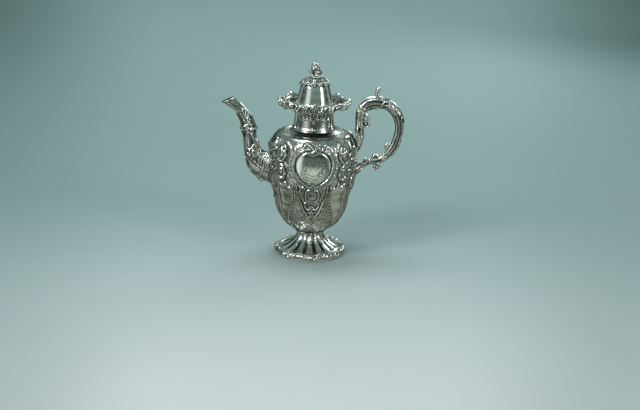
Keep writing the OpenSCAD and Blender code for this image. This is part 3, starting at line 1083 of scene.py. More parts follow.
    def _shield(self, m: ReliefMap) -> None:
        """The hanging shield of chased work, from the medallion's foot down to its tip."""
        for hand in (-1, 1):
            edge = smooth_curve([(1 + hand * 27, 137), (1 + hand * 26, 124), (1 + hand * 22, 108),
                                 (1 + hand * 15, 92), (1 + hand * 6, 80), (1, 71)], 12)
            m.stroke(edge, (1.2, 1.7, 1.2), 2.6)
            m.stroke(edge + np.array([-hand * 3.2, 1.5]), (0.8,), 1.1, cut=True)
            m.leaf((1 + hand * 22, 130), (1 + hand * 15, 112), 4.0, 2.1, bend=hand * 2, lobes=3)
            m.stroke(scroll_line((1 + hand * 10, 101), 15, 60 * hand, Scroll.C, 5.5), (1.2, 2.0, 1.1), 2.8)
            m.flower((1 + hand * 22.5, 96), 3.2, 2.2)
            m.stroke(scroll_line((1 + hand * 6, 84), 12, -50 * hand, Scroll.C, 5.5), (1.0, 1.6, 0.9), 2.4)
            m.leaf((1 + hand * 16, 86), (1 + hand * 30, 98), 4.4, 1.9, bend=-hand * 2, lobes=4)
            m.leaf((1 + hand * 14, 74), (1 + hand * 34, 76), 4.4, 1.9, bend=-hand * 3, lobes=4)
        m.flower((1, 98.0), 4.6, 2.9, 6)
        m.leaf((1, 93), (1, 76), 4.0, 2.5)
        m.fan((1, 70.5), 7.0, -90, 120, 5, 2.0)

    def _panels(self, m: ReliefMap) -> None:
        """Tall plain panels with pointed heads, between bands of small leaves."""
        for hand in (-1, 1):
            near = smooth_curve([(hand * 33, 138), (hand * 35, 122), (hand * 41, 100), (hand * 50, 78),
                                 (hand * 57, 64)], 10)
            far = smooth_curve([(hand * 62, 140), (hand * 69, 124), (hand * 72, 104), (hand * 69, 84),
                                (hand * 60, 64)], 10)
            top = smooth_curve([(hand * 33, 138), (hand * 41, 133), (hand * 49, 142), (hand * 56, 134),
                                (hand * 62, 140)], 8)
            rows, columns = np.indices(m.raised.shape)
            s = hand * (columns * m.step - m.width / 2)
            z = rows * m.step + m.low
            low = np.interp(z, near[::-1, 1], hand * near[::-1, 0])
            high = np.interp(z, far[::-1, 1], hand * far[::-1, 0])
            inside = (s > low) & (s < high) & (z < 138) & (z > 65)
            m.raised[inside] = -0.4
            m.burnished[inside & (s > low + 2.5) & (s < high - 2.5)] = 1.0
            for line in (near, far, top):
                m.stroke(line, (1.1, 1.5, 1.1), 2.6)
            for z0 in np.arange(74, 134, 6.0):
                s0 = float(np.interp(z0, near[::-1, 1], hand * near[::-1, 0]))
                s1 = float(np.interp(z0, far[::-1, 1], hand * far[::-1, 0]))
                m.spot((hand * (s0 - 3.4), z0), 1.8, 1.8)
                m.leaf((hand * (s1 + 2), z0), (hand * (s1 + 9), z0 + 7), 3.0, 1.8, lobes=2)

    def _shoulder(self, m: ReliefMap) -> None:
        """Punched dots and small leaves above the medallion, and a ring at the neck."""
        for n in range(15):
            s = -42 + n * 6.0
            m.spot((s, 209.0 - 0.0028 * s * s + 1.2 * (n % 2)), 1.2, 1.0)
        for hand in (-1, 1):
            m.leaf((hand * 20, 208), (hand * 36, 202), 3.4, 1.8, bend=hand * 2)
            m.leaf((hand * 46, 208), (hand * 62, 204), 4.0, 2.0, bend=hand * 2)
            m.stroke(scroll_line((hand * 78, 203), 16, 90 * hand, Scroll.S, 5.0), (1.2, 2.0, 1.0), 2.4)

    def _foliage(self, m: ReliefMap) -> None:
        """Leafwork that fills the sides, the roots of spout and handle, and the foot of the body."""
        draw = np.random.default_rng(self.seed)
        for hand in (-1, 1):
            for row, z in enumerate(np.arange(128, 208, 16.0)):
                for column, s in enumerate(np.arange(80, 118, 16.0)):
                    at = (hand * (s + 6 * (row % 2)), z)
                    size = float(draw.uniform(15, 20))
                    turn = float(draw.uniform(0, 360))
                    kind = Scroll.C if (row + column) % 2 else Scroll.S
                    m.stroke(scroll_line(at, size, turn, kind, 5.5), (1.2, 2.2, 1.1), 2.6)
                    a = math.radians(turn + 120)
                    tip = (at[0] + 10 * math.cos(a), at[1] + 10 * math.sin(a))
                    m.leaf(at, tip, 3.6, 1.9, lobes=3)
            m.flower((hand * 88.5, 169), 6.4, 3.2, 6)
            for s, low, high, width in ((84, 72, 112, 5.0), (99, 70, 118, 6.0), (114, 70, 112, 5.0)):
                m.leaf((hand * s, high), (hand * s, low), width, 2.0, lobes=7)
            for s in (8, 24, 40, 58, 76, 94, 110):
                m.leaf((hand * s, 43), (hand * s, 66 + 4 * (s % 3)), 5.0, 1.5, lobes=5)
            for s in np.arange(40, 46, 2.0):
                m.stroke(np.array([[hand * s, 150.0], [hand * (s + 2), 158.0]]), (0.5,), 0.8)
            for _ in range(16):
                s = float(draw.uniform(42, 74))
                z = float(draw.uniform(139, 205))
                a = float(draw.uniform(0, TURN))
                m.leaf((hand * s, z), (hand * s + 6 * math.cos(a), z + 6 * math.sin(a)), 2.0, 1.0, lobes=2)

    def neck(self) -> ReliefMap:
        """Relief of the neck: a leaf band under the brim, straps and pointed panels."""
        m = ReliefMap(width=112.0, low=216.0, high=262.0, step=0.4)
        m.spot((-0.5, 227.6), 3.4, 1.5)
        for hand in (-1, 1):
            for n, s in enumerate((4.0, 11.5, 19.0)):
                m.stroke(scroll_line((hand * s, 252), 10.5, 90 * hand + 60 * (n % 2), Scroll.C, 5.6),
                         (0.7, 1.3, 0.6), 2.2)
                m.stroke(scroll_line((hand * s, 252), 7.6, 90 * hand + 60 * (n % 2), Scroll.C, 5.6),
                         (0.5, 0.8, 0.5), 1.0, cut=True)
                m.flower((hand * (s + 4), 256), 2.2, 1.9)
                m.leaf((hand * s, 249), (hand * (s + 2), 243.5), 2.4, 1.8, lobes=3)
            for s in (37.0, 40.5):
                m.stroke(smooth_curve([(hand * (s - 3), 257), (hand * s, 246), (hand * s, 234),
                                       (hand * (s - 2), 226)], 10), (0.7, 1.2, 0.7), 1.5)
            m.leaf((hand * 38.5, 228), (hand * 38.5, 250), 2.6, 1.6, lobes=5)
            strap = smooth_curve([(hand * 3, 243.5), (hand * 13, 245.5), (hand * 24, 242),
                                  (hand * 31, 247)], 10)
            m.stroke(strap, (0.6, 0.9, 0.6), 1.0)
            m.stroke(smooth_curve([(hand * 31, 247), (hand * 31, 238), (hand * 29, 231)], 10), (0.6,), 0.8)
        m.leaf((0, 244), (0, 237.5), 2.2, 1.1, lobes=3)
        return m


@dataclass
class Vessel:
    """The body and neck, spun from outlines of radius and height in millimetres."""

    body_outline: Sequence[Sequence[float]] = (
        (21, 41), (25, 42.7), (33, 47), (40.5, 52.4), (46.6, 58.2), (52.4, 66), (57.6, 75), (60.5, 84),
        (62.2, 93), (63.4, 103), (65.6, 112), (69.2, 121), (71.6, 130), (73.5, 143), (74.4, 166),
        (74.4, 184), (73.2, 197), (70.5, 205), (66, 211.4), (60, 216.3), (52, 218.9), (44, 219.4))
    neck_outline: Sequence[Sequence[float]] = (
        (37.9, 219.6), (37.9, 222.4), (37.2, 224.6), (36.2, 227.6), (35.0, 230.2), (33.8, 238), (33.1, 247),
        (33.3, 256), (34.6, 259.2), (38, 261.6), (44, 263.2), (50, 264.9))
    collar_outline: Sequence[Sequence[float]] = (
        (52, 218.6), (49, 219.9), (47, 218.9), (45, 220.1), (43, 218.9), (41.5, 220.3), (40.2, 221.2),
        (38.8, 222.6), (37.4, 223))
    wall: float = 0.9
    body_steps: int = 400
    body_rings: int = 176
    neck_steps: int = 300
    neck_rings: int = 84

    def _walled(self, outline: Sequence[Sequence[float]], rings: int, inner: int) -> tuple[np.ndarray, int]:
        """Outside and inside of a shell as one open outline in millimetres, and the outside's count."""
        outside = evenly(smooth_curve(outline, 10), rings)
        inside = inner_wall(outside, self.wall)
        keep = np.linspace(rings - 1, 0, inner).astype(int)
        return np.concatenate([outside, inside[keep], outside[:1]]), rings

    def _chase(self, name: str, outline: Sequence[Sequence[float]], steps: int, rings: int,
               relief: ReliefMap, arc_radius: float, full: float) -> bpy.types.Object:
        """Spins one shell and raises its relief along the normals."""
        loop, outer = self._walled(outline, rings, 30)
        bm = spun_form(loop * MM, steps)
        layer = bm.verts.layers.float["arc"]
        arc = np.array([v[layer] for v in bm.verts])
        places = coordinates(bm)
        azimuth = mirrored_azimuth(places[:, 0], places[:, 1])
        across, along = azimuth * arc_radius, places[:, 2] / MM
        outside = (arc > 0.5) & (arc < outer - 1.5)
        height = np.where(outside, relief.heights(across, along), 0.0)
        # Inside walls get 0.4, which paints them in shade.
        open_share = np.where(outside, relief.exposure(across, along, full=full), 0.4)
        put(bm, places + normals(bm) * height[:, None] * MM)
        return finish_mesh(name, bm, open_share)

    def build(self, chaser: Chaser, finishes: Finishes) -> None:
        """Makes the body, the neck, the ring between them and the neck's bosses."""
        body = self._chase("body_chased", self.body_outline, self.body_steps, self.body_rings,
                           chaser.body(), BODY_ARC, 1.1)
        settle(body, POT, Slot.CHASED, finishes.chased, ["body_shell"])
        neck = self._chase("neck_chased", self.neck_outline, self.neck_steps, self.neck_rings,
                           chaser.neck(), NECK_ARC, 0.6)
        settle(neck, POT, Slot.CHASED, finishes.chased, ["neck"])
        collar = evenly(smooth_curve(self.collar_outline, 8), 70)
        ring = spun_form(np.concatenate([collar, [[37.2, 218.4]], collar[:1]]) * MM, 256)
        places = coordinates(ring)
        angle = np.arctan2(places[:, 1], places[:, 0])
        radius = radii_of(places)
        beads = 0.6 * np.abs(np.sin(angle * 30 + radius * 0.8)) * np.clip((radius - 40) / 3, 0, 1)
        places[:, 2] += beads * MM
        put(ring, places)
        # Painted shade: the ring is darkest at its front and back and lighter towards spout and handle; the
        # beads lighten their raised tops.
        tone = np.clip(beads * 0.4, 0.0, 0.25) + 0.5 * np.cos(angle) ** 2
        piece = finish_mesh("shoulder_ring", ring, tone)
        settle(piece, POT, Slot.CAST, finishes.cast, ["neck_ring"])


@dataclass
class CastBorder:
    """A cast border of shells and scrolls that waves round the brim or the foot.

    Args:
        name: name of the piece.
        stands_for: the CAD node it replaces.
        section: closed loop of radius and height in millimetres, from the inside over the top.
        repeats: shells around.
        sway: how far its plan waves, in millimetres.
        lift: how far its height waves, in millimetres.
        depth_share: strength of the relief.
        sunk: extra darkening, from 0 to 1.
        steps: faces around.
        rings: faces round the section.
    """

    name: str
    stands_for: str
    section: Sequence[Sequence[float]]
    repeats: int = 8
    sway: float = 1.8
    lift: float = 0.8
    depth_share: float = 1.0
    sunk: float = 0.0
    steps: int = 560
    rings: int = 46

    def _motif(self, width: float, depth: float) -> ReliefMap:
        """One repeat: a shell in the middle with scrolls and leaves on both sides."""
        m = ReliefMap(width=width, low=0.0, high=depth, step=0.3)
        middle = depth * 0.52
        m.fan((0, middle - 4.6), 8.0, 90, 150, 7, 2.1)
        m.spot((0, middle - 4.2), 1.8, 2.3)
        for hand in (-1, 1):
            m.stroke(scroll_line((hand * width * 0.24, middle + 0.5), 9.6, 90 * hand + 30, Scroll.C, 6.0),
                     (0.9, 1.6, 0.9), 2.0)
            m.stroke(scroll_line((hand * width * 0.4, middle), 8.6, -70 * hand, Scroll.S, 5.0),
                     (0.8, 1.4, 0.8), 1.8)
            m.leaf((hand * width * 0.3, middle - 3.5), (hand * width * 0.47, middle + 3.5), 2.6, 1.7,
                   lobes=3)
            m.spot((hand * width * 0.34, middle + 4.2), 1.2, 1.6)
            m.leaf((hand * width * 0.14, middle + 2.5), (hand * width * 0.3, middle + 6), 2.2, 1.5, lobes=3)
        return m

    def build(self, finishes: Finishes) -> None:
        """Spins the section, waves it and raises the motif."""
        loop = evenly(np.array([*self.section, self.section[0]], float), self.rings + 1)
        depth = run_length(loop)
        mean = float(loop[:, 0].mean())
        period = TURN * mean / self.repeats
        relief = self._motif(period, depth)
        bm = spun_form(loop * MM, self.steps)
        layer = bm.verts.layers.float["arc"]
        along = np.array([v[layer] for v in bm.verts]) / self.rings * depth
        places = coordinates(bm)
        angle = azimuths(places)
        phase = np.mod(angle * self.repeats / TURN + 0.5, 1.0) - 0.5
        height = relief.heights(phase * period, along)
        open_share = relief.exposure(phase * period, along, 1.6, 0.6) - self.sunk
        outer = np.clip((radii_of(places) - loop[:, 0].min()) / np.ptp(loop[:, 0]), 0, 1)
        moved = places + normals(bm) * height[:, None] * MM * self.depth_share
        wave = np.cos(angle * self.repeats)
        spread = 1.0 + outer * self.sway * wave / mean
        moved[:, :2] *= spread[:, None]
        moved[:, 2] += outer * self.lift * wave * MM
        put(bm, moved)
        piece = finish_mesh(self.name, bm, open_share)
        settle(piece, POT, Slot.CAST, finishes.cast, [self.stands_for])


@dataclass
class Profile:
    """An outline of radius and height in millimetres that leaves can be laid on.

    Args:
        outline: its points, from which leaves measure their distance.
    """

    outline: Sequence[Sequence[float]]

    def __post_init__(self) -> None:
        """Spaces the outline evenly and finds its outward normals."""
        line = evenly(smooth_curve(self.outline, 10), 300)
        tangent = np.gradient(line, axis=0)
        tangent /= np.linalg.norm(tangent, axis=1)[:, None]
        normal = np.stack([tangent[:, 1], -tangent[:, 0]], axis=1)
        if normal[:, 0].sum() < 0:
            normal = -normal
        self.rows = np.concatenate([line, normal], axis=1)
        self.length = run_length(line)
        self.run = np.linspace(0.0, self.length, len(line))

    def distance_at(self, height: float) -> float:
        """Distance along the outline at which it reaches a height."""
        return float(self.run[int(np.argmin(np.abs(self.rows[:, 1] - height)))])

    def drape(self, azimuth: float, start: float, heading: int, length: float, curl: float = 0.0,
              gap: float = 0.2, lean: float = 0.0) -> Callable[..., np.ndarray]:
        """Lays a leaf on the turned surface.

        Args:
            azimuth: degrees from the front, positive towards the handle.
            start: distance of the leaf's base along the outline.
            heading: 1 along the outline, -1 against it.
            length: length of the leaf.
            curl: how far the tip lifts off.
            gap: how far the whole leaf lies off the surface.
            lean: sideways drift of the tip, in millimetres.

        Returns:
            The seat function for leaf_blade.
        """
        def seat(across: np.ndarray, along: np.ndarray, height: np.ndarray) -> np.ndarray:
            """Places of a leaf on the outline."""
            share = np.clip(along / length, 0, 1.2)
            r, z, nr, nz = (np.interp(start + heading * along, self.run, c) for c in self.rows.T)
            lift = gap + height * (1 - 0.4 * share) + curl * share**3
            turn = math.radians(azimuth) + (across + lean * share**2) / np.maximum(r, 4.0)
            radius = r + nr * lift
            return np.stack([radius * np.sin(turn), -radius * np.cos(turn), z + nz * lift], axis=1) * MM

        return seat


@dataclass
class Foot:
    """The spreading foot, fluted like the bodies of the smaller pieces of its service."""

    dome_outline: Sequence[Sequence[float]] = (
        (55, 6), (50, 10), (44, 12.5), (36.5, 17), (29, 23), (23.5, 29.5), (21.5, 36))
    collar_outline: Sequence[Sequence[float]] = (
        (20.6, 35.9), (22.2, 36.2), (24.6, 37.4), (25.2, 38.6), (24.6, 39.8), (22.4, 40.8), (20.8, 41.2))
    wall: float = 0.8
    leaves: int = 8

    def build(self, finishes: Finishes) -> None:
        """Makes the fluted dome with its leaves, the stem's collar and the cast border."""
        outside = evenly(smooth_curve(self.dome_outline, 10), 60)
        inside = inner_wall(outside, self.wall)
        bm = spun_form(np.concatenate([outside, inside[::-1], outside[:1]]) * MM, 320)
        places = coordinates(bm)
        angle = azimuths(places)
        radius = radii_of(places)
        share = np.clip((radius - 21.5) / 30.0, 0, 1)
        flute = 1.1 * np.cos(angle * 16) * np.sin(math.pi * share) ** 0.8
        put(bm, places + normals(bm) * np.where(flute > 0, flute, flute * 0.6)[:, None] * MM * 0.6)
        # Flute ridges get high relief values and grooves low ones: oxide and painted shade in the grooves.
        dome = finish_mesh("foot_dome_fluted", bm, np.clip(0.55 + flute * 0.4, 0, 1))
        settle(dome, POT, Slot.POLISHED, finishes.chased, ["foot_dome"])
        profile = Profile(self.dome_outline)
        shape = LeafShape(length=21, width=6.5, lobes=4, crown=0.8)
        blades = [leaf_blade(f"foot_leaf_{n}", shape,
                             profile.drape(360 * n / self.leaves, profile.length - 1.0, -1, shape.length,
                                           curl=0.5), across=14, along=28)
                  for n in range(self.leaves)]
        settle(joined("foot_leaves", blades), POT, Slot.CAST, finishes.cast)
        collar = evenly(smooth_curve(self.collar_outline, 8), 40)
        ring = spun_form(np.concatenate([collar, [[18.4, 40.6], [18.4, 36.4]], collar[:1]]) * MM, 240)
        places = coordinates(ring)
        angle = np.arctan2(places[:, 1], places[:, 0])
        radius = radii_of(places)
        bead = np.abs(np.sin(angle * 20)) * np.clip((radius - 21) / 3, 0, 1)
        places[:, :2] *= (1 + bead * 0.03)[:, None]
        put(ring, places)
        # The gaps between the beads get low relief values: oxide and painted shade.
        settle(finish_mesh("stem_beads", ring, np.clip(bead, 0.0, 1)), POT, Slot.CAST, finishes.cast,
               ["stem_collar"])
        CastBorder("foot_border_cast", "foot_border",
                   ((50.5, 3.2), (50.5, 8.0), (52.0, 10.2), (54.5, 10.8), (57.5, 9.8), (60.0, 6.6),
                    (60.2, 3.0), (58, 2.8), (54, 2.8)), sway=1.2, lift=0.3).build(finishes)


class Brim:
    """The flared rim of the neck with its waved cast border."""

    def build(self, finishes: Finishes) -> None:
        """Makes the border; the rim under it stays as in the frame."""
        CastBorder("brim_border_cast", "brim_border",
                   ((47.5, 266.6), (48.2, 270.4), (50.6, 273.0), (53.8, 273.2), (56.0, 271.2), (57.0, 267.8),
                    (56.4, 264.0), (54.0, 262.0), (50.5, 264.0)), sway=2.0, lift=1.8, sunk=0.06,
                   depth_share=1.9).build(finishes)


def sections(*rows: tuple[float, float, float, float, float]) -> tuple[Section, ...]:
    """Sections of an arm from rows of x, z, tilt, half-height and half-width."""
    return tuple(Section(*row) for row in rows)


SPOUT_SECTIONS = sections(
    (72.6, 149.5, 91, 27, 16.5), (89.5, 157, 104.5, 22, 15), (101.7, 168.7, 124, 18.2, 13),
    (106.2, 182, 138, 14.2, 11.4), (108.6, 198, 162, 10.3, 9.8), (111, 214.5, 176, 9.6, 9.1),
    (114.6, 231.5, 165, 10.2, 9.1), (120.8, 244.8, 151, 9.1, 8.5), (130.6, 256.3, 137, 8.7, 7.9),
    (147.9, 268.6, 157, 11.1, 7.6))
GRIP_SECTIONS = sections(
    (82.2, 258.8, 152, 8.5, 7.5), (90.3, 267.5, 123, 8.9, 7.7), (106, 271.4, 91, 8.3, 7.5),
    (126.6, 265.7, 58, 8.1, 7.4), (141.6, 249.6, 27, 7.7, 7.1), (146.7, 227, 0, 7.4, 6.8),
    (141.6, 201.8, -21, 7.1, 6.5), (132.6, 185, -36, 6.6, 6.0), (123.8, 176.3, -53, 5.9, 5.4))
UPPER_SECTIONS = sections(
    (73.6, 195, 90, 17, 8), (77.8, 205, 125, 9.4, 6.9), (78.6, 215, 160, 7.6, 6.4),
    (78.2, 226, 180, 6.9, 6.3), (78.4, 238, 176, 7.5, 6.8), (79, 248, 164, 8.2, 7.3),
    (80.6, 256.0, 152, 8.5, 7.5))
LOWER_SECTIONS = sections(
    (74.2, 149, 90, 9, 6.2), (81, 154.6, 133, 5.8, 5), (89, 161.4, 123, 4.8, 4.5), (98, 166, 112, 4.7, 4.5),
    (108, 168.2, 106, 5.2, 4.8), (116, 170.9, 119, 5.8, 5.2), (122.1, 174.6, 127, 5.9, 5.4))
SPUR_SECTIONS = sections(
    (112.5, 276.4, 172, 10, 5.8), (108.6, 282.6, 176, 5.6, 4.8), (106.2, 288.2, 174, 3.6, 4.2),
    (106.6, 293.0, 150, 4.0, 4.0), (111.4, 295.6, 95, 2.4, 2.6))


@dataclass(frozen=True)
class BodyLeaf:
    """A cast leaf soldered to the vessel at the root of an arm.

    Args:
        turn: azimuth in degrees from the front, positive towards the handle.
        start: height at which it springs.
        heading: 1 if it grows up the vessel, -1 if it grows down.
        length: its length.
        width: its half-width.
        curl: how far its tip lifts off.
    """

    turn: float
    start: float
    heading: int
    length: float
    width: float
    curl: float

    def build(self, name: str, body: Profile, lobes: int, across: int, along: int) -> bpy.types.Object:
        """Makes the leaf on the vessel's profile, with so many lobes and faces."""
        seat = body.drape(self.turn, body.distance_at(self.start), self.heading, self.length, self.curl)
        return leaf_blade(name, LeafShape(self.length, self.width, lobes=lobes), seat, across, along)


SPOUT_ROOT = (
    BodyLeaf(-90, 124, -1, 24, 8.0, 2.6), BodyLeaf(-78, 128, -1, 27, 7.0, 3.0),
    BodyLeaf(-102, 128, -1, 27, 7.0, 3.0), BodyLeaf(-66, 142, -1, 18, 6.5, 2.2),
    BodyLeaf(-114, 142, -1, 18, 6.5, 2.2), BodyLeaf(-90, 171, 1, 25, 7.5, 4.0),
    BodyLeaf(-74, 162, 1, 24, 6.0, 2.5), BodyLeaf(-106, 162, 1, 24, 6.0, 2.5))
HANDLE_ROOT = (
    BodyLeaf(90, 200, 1, 22, 7.5, 3.0), BodyLeaf(74, 198, 1, 18, 6.0, 1.6),
    BodyLeaf(106, 198, 1, 18, 6.0, 1.6),
    BodyLeaf(90, 184, -1, 22, 7.0, 3.0), BodyLeaf(77, 188, -1, 20, 6.0, 2.0),
    BodyLeaf(103, 188, -1, 20, 6.0, 2.0), BodyLeaf(90, 143, -1, 18, 6.5, 2.4),
    BodyLeaf(80, 150, -1, 14, 5.0, 1.4), BodyLeaf(100, 150, -1, 14, 5.0, 1.4),
    BodyLeaf(82, 153, 1, 13, 5.0, 1.4), BodyLeaf(98, 153, 1, 13, 5.0, 1.4))


def leaf_on_arm(name: str, arm: Arm, start: float, end: float, around: float, width: float,
                lift: float = 0.6, curl: float = 2.0, lobes: int = 4) -> bpy.types.Object:
    """A leaf laid along an arm, between two shares of its length, on the side at an angle in degrees."""
    length = abs(end - start) * arm.length
    shape = LeafShape(length=length, width=width, lobes=lobes)

    def seat(across: np.ndarray, along: np.ndarray, height: np.ndarray) -> np.ndarray:
        """Places of the leaf on the arm."""
        share = np.clip(along / length, 0, 1.15)
        girth = arm.at(np.full_like(share, (start + end) / 2))[:, 3]
        turn = math.radians(around) + across / girth
        grow = lift + height * 0.7 + curl * share**3
        return arm.surface(turn, np.clip(start + (end - start) * share, 0, 1), grow)

    return leaf_blade(name, shape, seat, across=16, along=34)


@dataclass
class Spout:
    """The swan-necked spout: a tube with chased flanks, leaves at its root and a spur on its back."""

    beads: int = 7

    def _relief(self, arm: Arm) -> SideRelief:
        """Chases the flanks: shells, a plain oval panel, a band of crossing scrolls and a long leaf."""
        side = SideRelief(arm, 10.0)
        m, mid = side.cells, side.girth / 2
        at = side.at_height
        m.leaf((mid, 2), (mid + 1, at(164)), 7.0, 2.8, lobes=5)
        m.leaf((mid - 10, 2), (mid - 8, at(162)), 5.0, 2.4, lobes=4)
        m.leaf((mid + 9, 3), (mid + 11, at(166)), 5.0, 2.4, lobes=4)
        m.stroke(scroll_line((mid - 6, at(170)), 16, 60, Scroll.C, 5.5), (1.2, 2.2, 1.2), 3.0)
        m.stroke(scroll_line((mid + 7, at(167)), 17, -60, Scroll.S, 5.5), (1.2, 2.0, 1.0), 2.8)
        m.stroke(scroll_line((mid + 5, at(158)), 24, 35, Scroll.C, 5.5), (1.6, 3.2, 1.6), 3.8)
        m.fan((mid + 2, at(176)), 8.0, 90, 120, 5, 2.6)
        m.flower((mid + 9, at(178)), 3.4, 2.6)
        a = np.linspace(0, TURN, 80)
        low, high = at(186), at(214)
        panel = np.stack([mid + 6.6 * np.sin(a) * (1 - 0.2 * np.cos(a)), (low + high) / 2
                          + (high - low) / 2 * np.cos(a)], 1)
        m.stroke(panel, (1.0, 1.4, 1.0), 1.7)
        for n in range(9):
            m.spot((1.5, at(170) + n * 4.6), 1.7, 1.6)
            m.spot((side.girth - 1.0, at(168) + n * 4.8), 2.2, 2.2)
        for n, z in enumerate((216, 221, 226)):
            m.stroke(np.array([[0, at(z)], [side.girth, at(z) + 2.0 * (-1) ** n]]), (0.8, 1.3, 0.8), 1.5)
        m.stroke(scroll_line((mid - 4, at(221)), 12, 40, Scroll.C, 5.5), (1.0, 1.8, 1.0), 2.1)
        m.stroke(scroll_line((mid + 5, at(222)), 12, -140, Scroll.C, 5.5), (1.0, 1.8, 1.0), 2.1)
        m.leaf((mid - 2, at(228)), (mid + 1, at(257)), 6.4, 1.9, bend=1.5, lobes=4)
        m.leaf((side.girth, at(226)), (side.girth, at(252)), 5.0, 1.6, lobes=4)
        for shift in (-7.0, -3.5, 3.5, 7.0):
            flute = np.array([[mid + shift, at(250)], [mid + shift * 0.7, arm.length - 5]])
            m.stroke(flute, (0.5, 0.9, 0.5), 1.0)
        m.stroke(np.array([[0, arm.length - 1.4], [side.girth, arm.length - 1.4]]), (1.5,), 1.2)
        return side

    def build(self, body: Profile, finishes: Finishes) -> None:
        """Makes the tube, the drip lip, the beading and all its leaves."""
        arm = Arm(SPOUT_SECTIONS, hand=-1)
        settle(arm_skin("spout_tube", arm, 88, 400, self._relief(arm), wall=0.9), POT, Slot.POLISHED,
               finishes.chased, ["spout"])
        blades = [
            leaf_on_arm("spur_leaf", arm, 0.72, 0.57, 0, 8.0, curl=5.0),
            leaf_on_arm("spur_leaf_low", arm, 0.44, 0.56, 0, 7.0, curl=2.2),
            leaf_on_arm("outer_leaf", arm, 0.72, 0.57, 180, 8.5, curl=4.0),
            leaf_on_arm("outer_leaf_low", arm, 0.42, 0.55, 180, 8.0, curl=2.4),
            leaf_on_arm("crown_leaf", arm, 0.62, 0.80, 180, 6.0, curl=1.0),
            leaf_on_arm("root_leaf_inner", arm, 0.05, 0.36, 20, 11.0, curl=2.6),
            leaf_on_arm("root_leaf_outer", arm, 0.36, 0.08, 180, 13.0, curl=4.5, lobes=5)]
        for n, turn in enumerate((-62, -118)):
            for hand in (-1, 1):
                blades.append(leaf_on_arm(f"root_flank_{n}_{hand}", arm, 0.02, 0.30 - 0.04 * n,
                                          hand * -turn, 9.0, curl=2.4, lobes=4))
        settle(joined("spout_leaves", blades), POT, Slot.CAST, finishes.cast)
        root = [leaf.build(f"root_{n}", body, 4, 16, 30) for n, leaf in enumerate(SPOUT_ROOT)]
        settle(joined("spout_root_leaves", root), POT, Slot.CAST, finishes.cast, ["spout_collar"])
        side = SideRelief(arm, 10.0)
        beads = []
        for n in range(self.beads):
            share = side.at_height(168 + n * 5.2) / arm.length
            place = arm.surface(np.array([math.pi]), np.array([share]), 1.2)[0] / MM
            size = 2.2 - 0.12 * n
            beads.append(ball(f"bead_{n}", place, (size, size * 1.2, size)))
        settle(joined("spout_beading", beads), POT, Slot.CAST, finishes.cast)


@dataclass
class Volute:
    """A ribbon that winds into a scroll round a boss; lengths in millimetres, angles in degrees.

    Args:
        x: place of the boss.
        z: height of the boss.
        radius: radius at which the winding starts.
        width: width of the ribbon along Y.
        start: angle at which the winding starts.
        hand: 1 to wind counter-clockwise as seen from the front, -1 for clockwise.
        turns: turns of the winding.
        lead: points of x and z that lead into the winding.
    """

    x: float
    z: float
    radius: float
    width: float
    start: float
    hand: int
    turns: float = 1.25
    lead: Sequence[Sequence[float]] = ()

    def pieces(self, name: str) -> list[bpy.types.Object]:
        """The ribbon, which may start along a lead of x and z, with its boss and a dark disc of painted
        shade behind.
        """
        t = np.linspace(0, 1, 60)
        a = math.radians(self.start) + self.hand * TURN * self.turns * t
        r = self.radius * (1 - 0.8 * t)
        line = np.stack([self.x + r * np.cos(a), 0 * t, self.z + r * np.sin(a)], axis=1)
        if self.lead:
            path = smooth_curve([*self.lead, line[0, [0, 2]], line[4, [0, 2]]], 8)[:-8]
            line = np.concatenate([np.stack([path[:, 0], 0 * path[:, 0], path[:, 1]], axis=1), line])
        ribbon = tube(f"{name}_ribbon", line, (2.0, 2.2, 1.5, 0.9), flat=self.width / 3.6, sides=20,
                      tone=0.62)
        boss = ball(f"{name}_boss", (self.x, 0, self.z), (1.9, self.width * 0.62, 1.9), tone=0.9)
        # A dark disc behind the winding paints the shade between its coils.
        painted_shade_disc = ball(f"{name}_web", (self.x, 0, self.z), (self.radius - 1.5, 1.2, self.radius - 1.5), tone=0.0)
        return [ribbon, boss, painted_shade_disc]


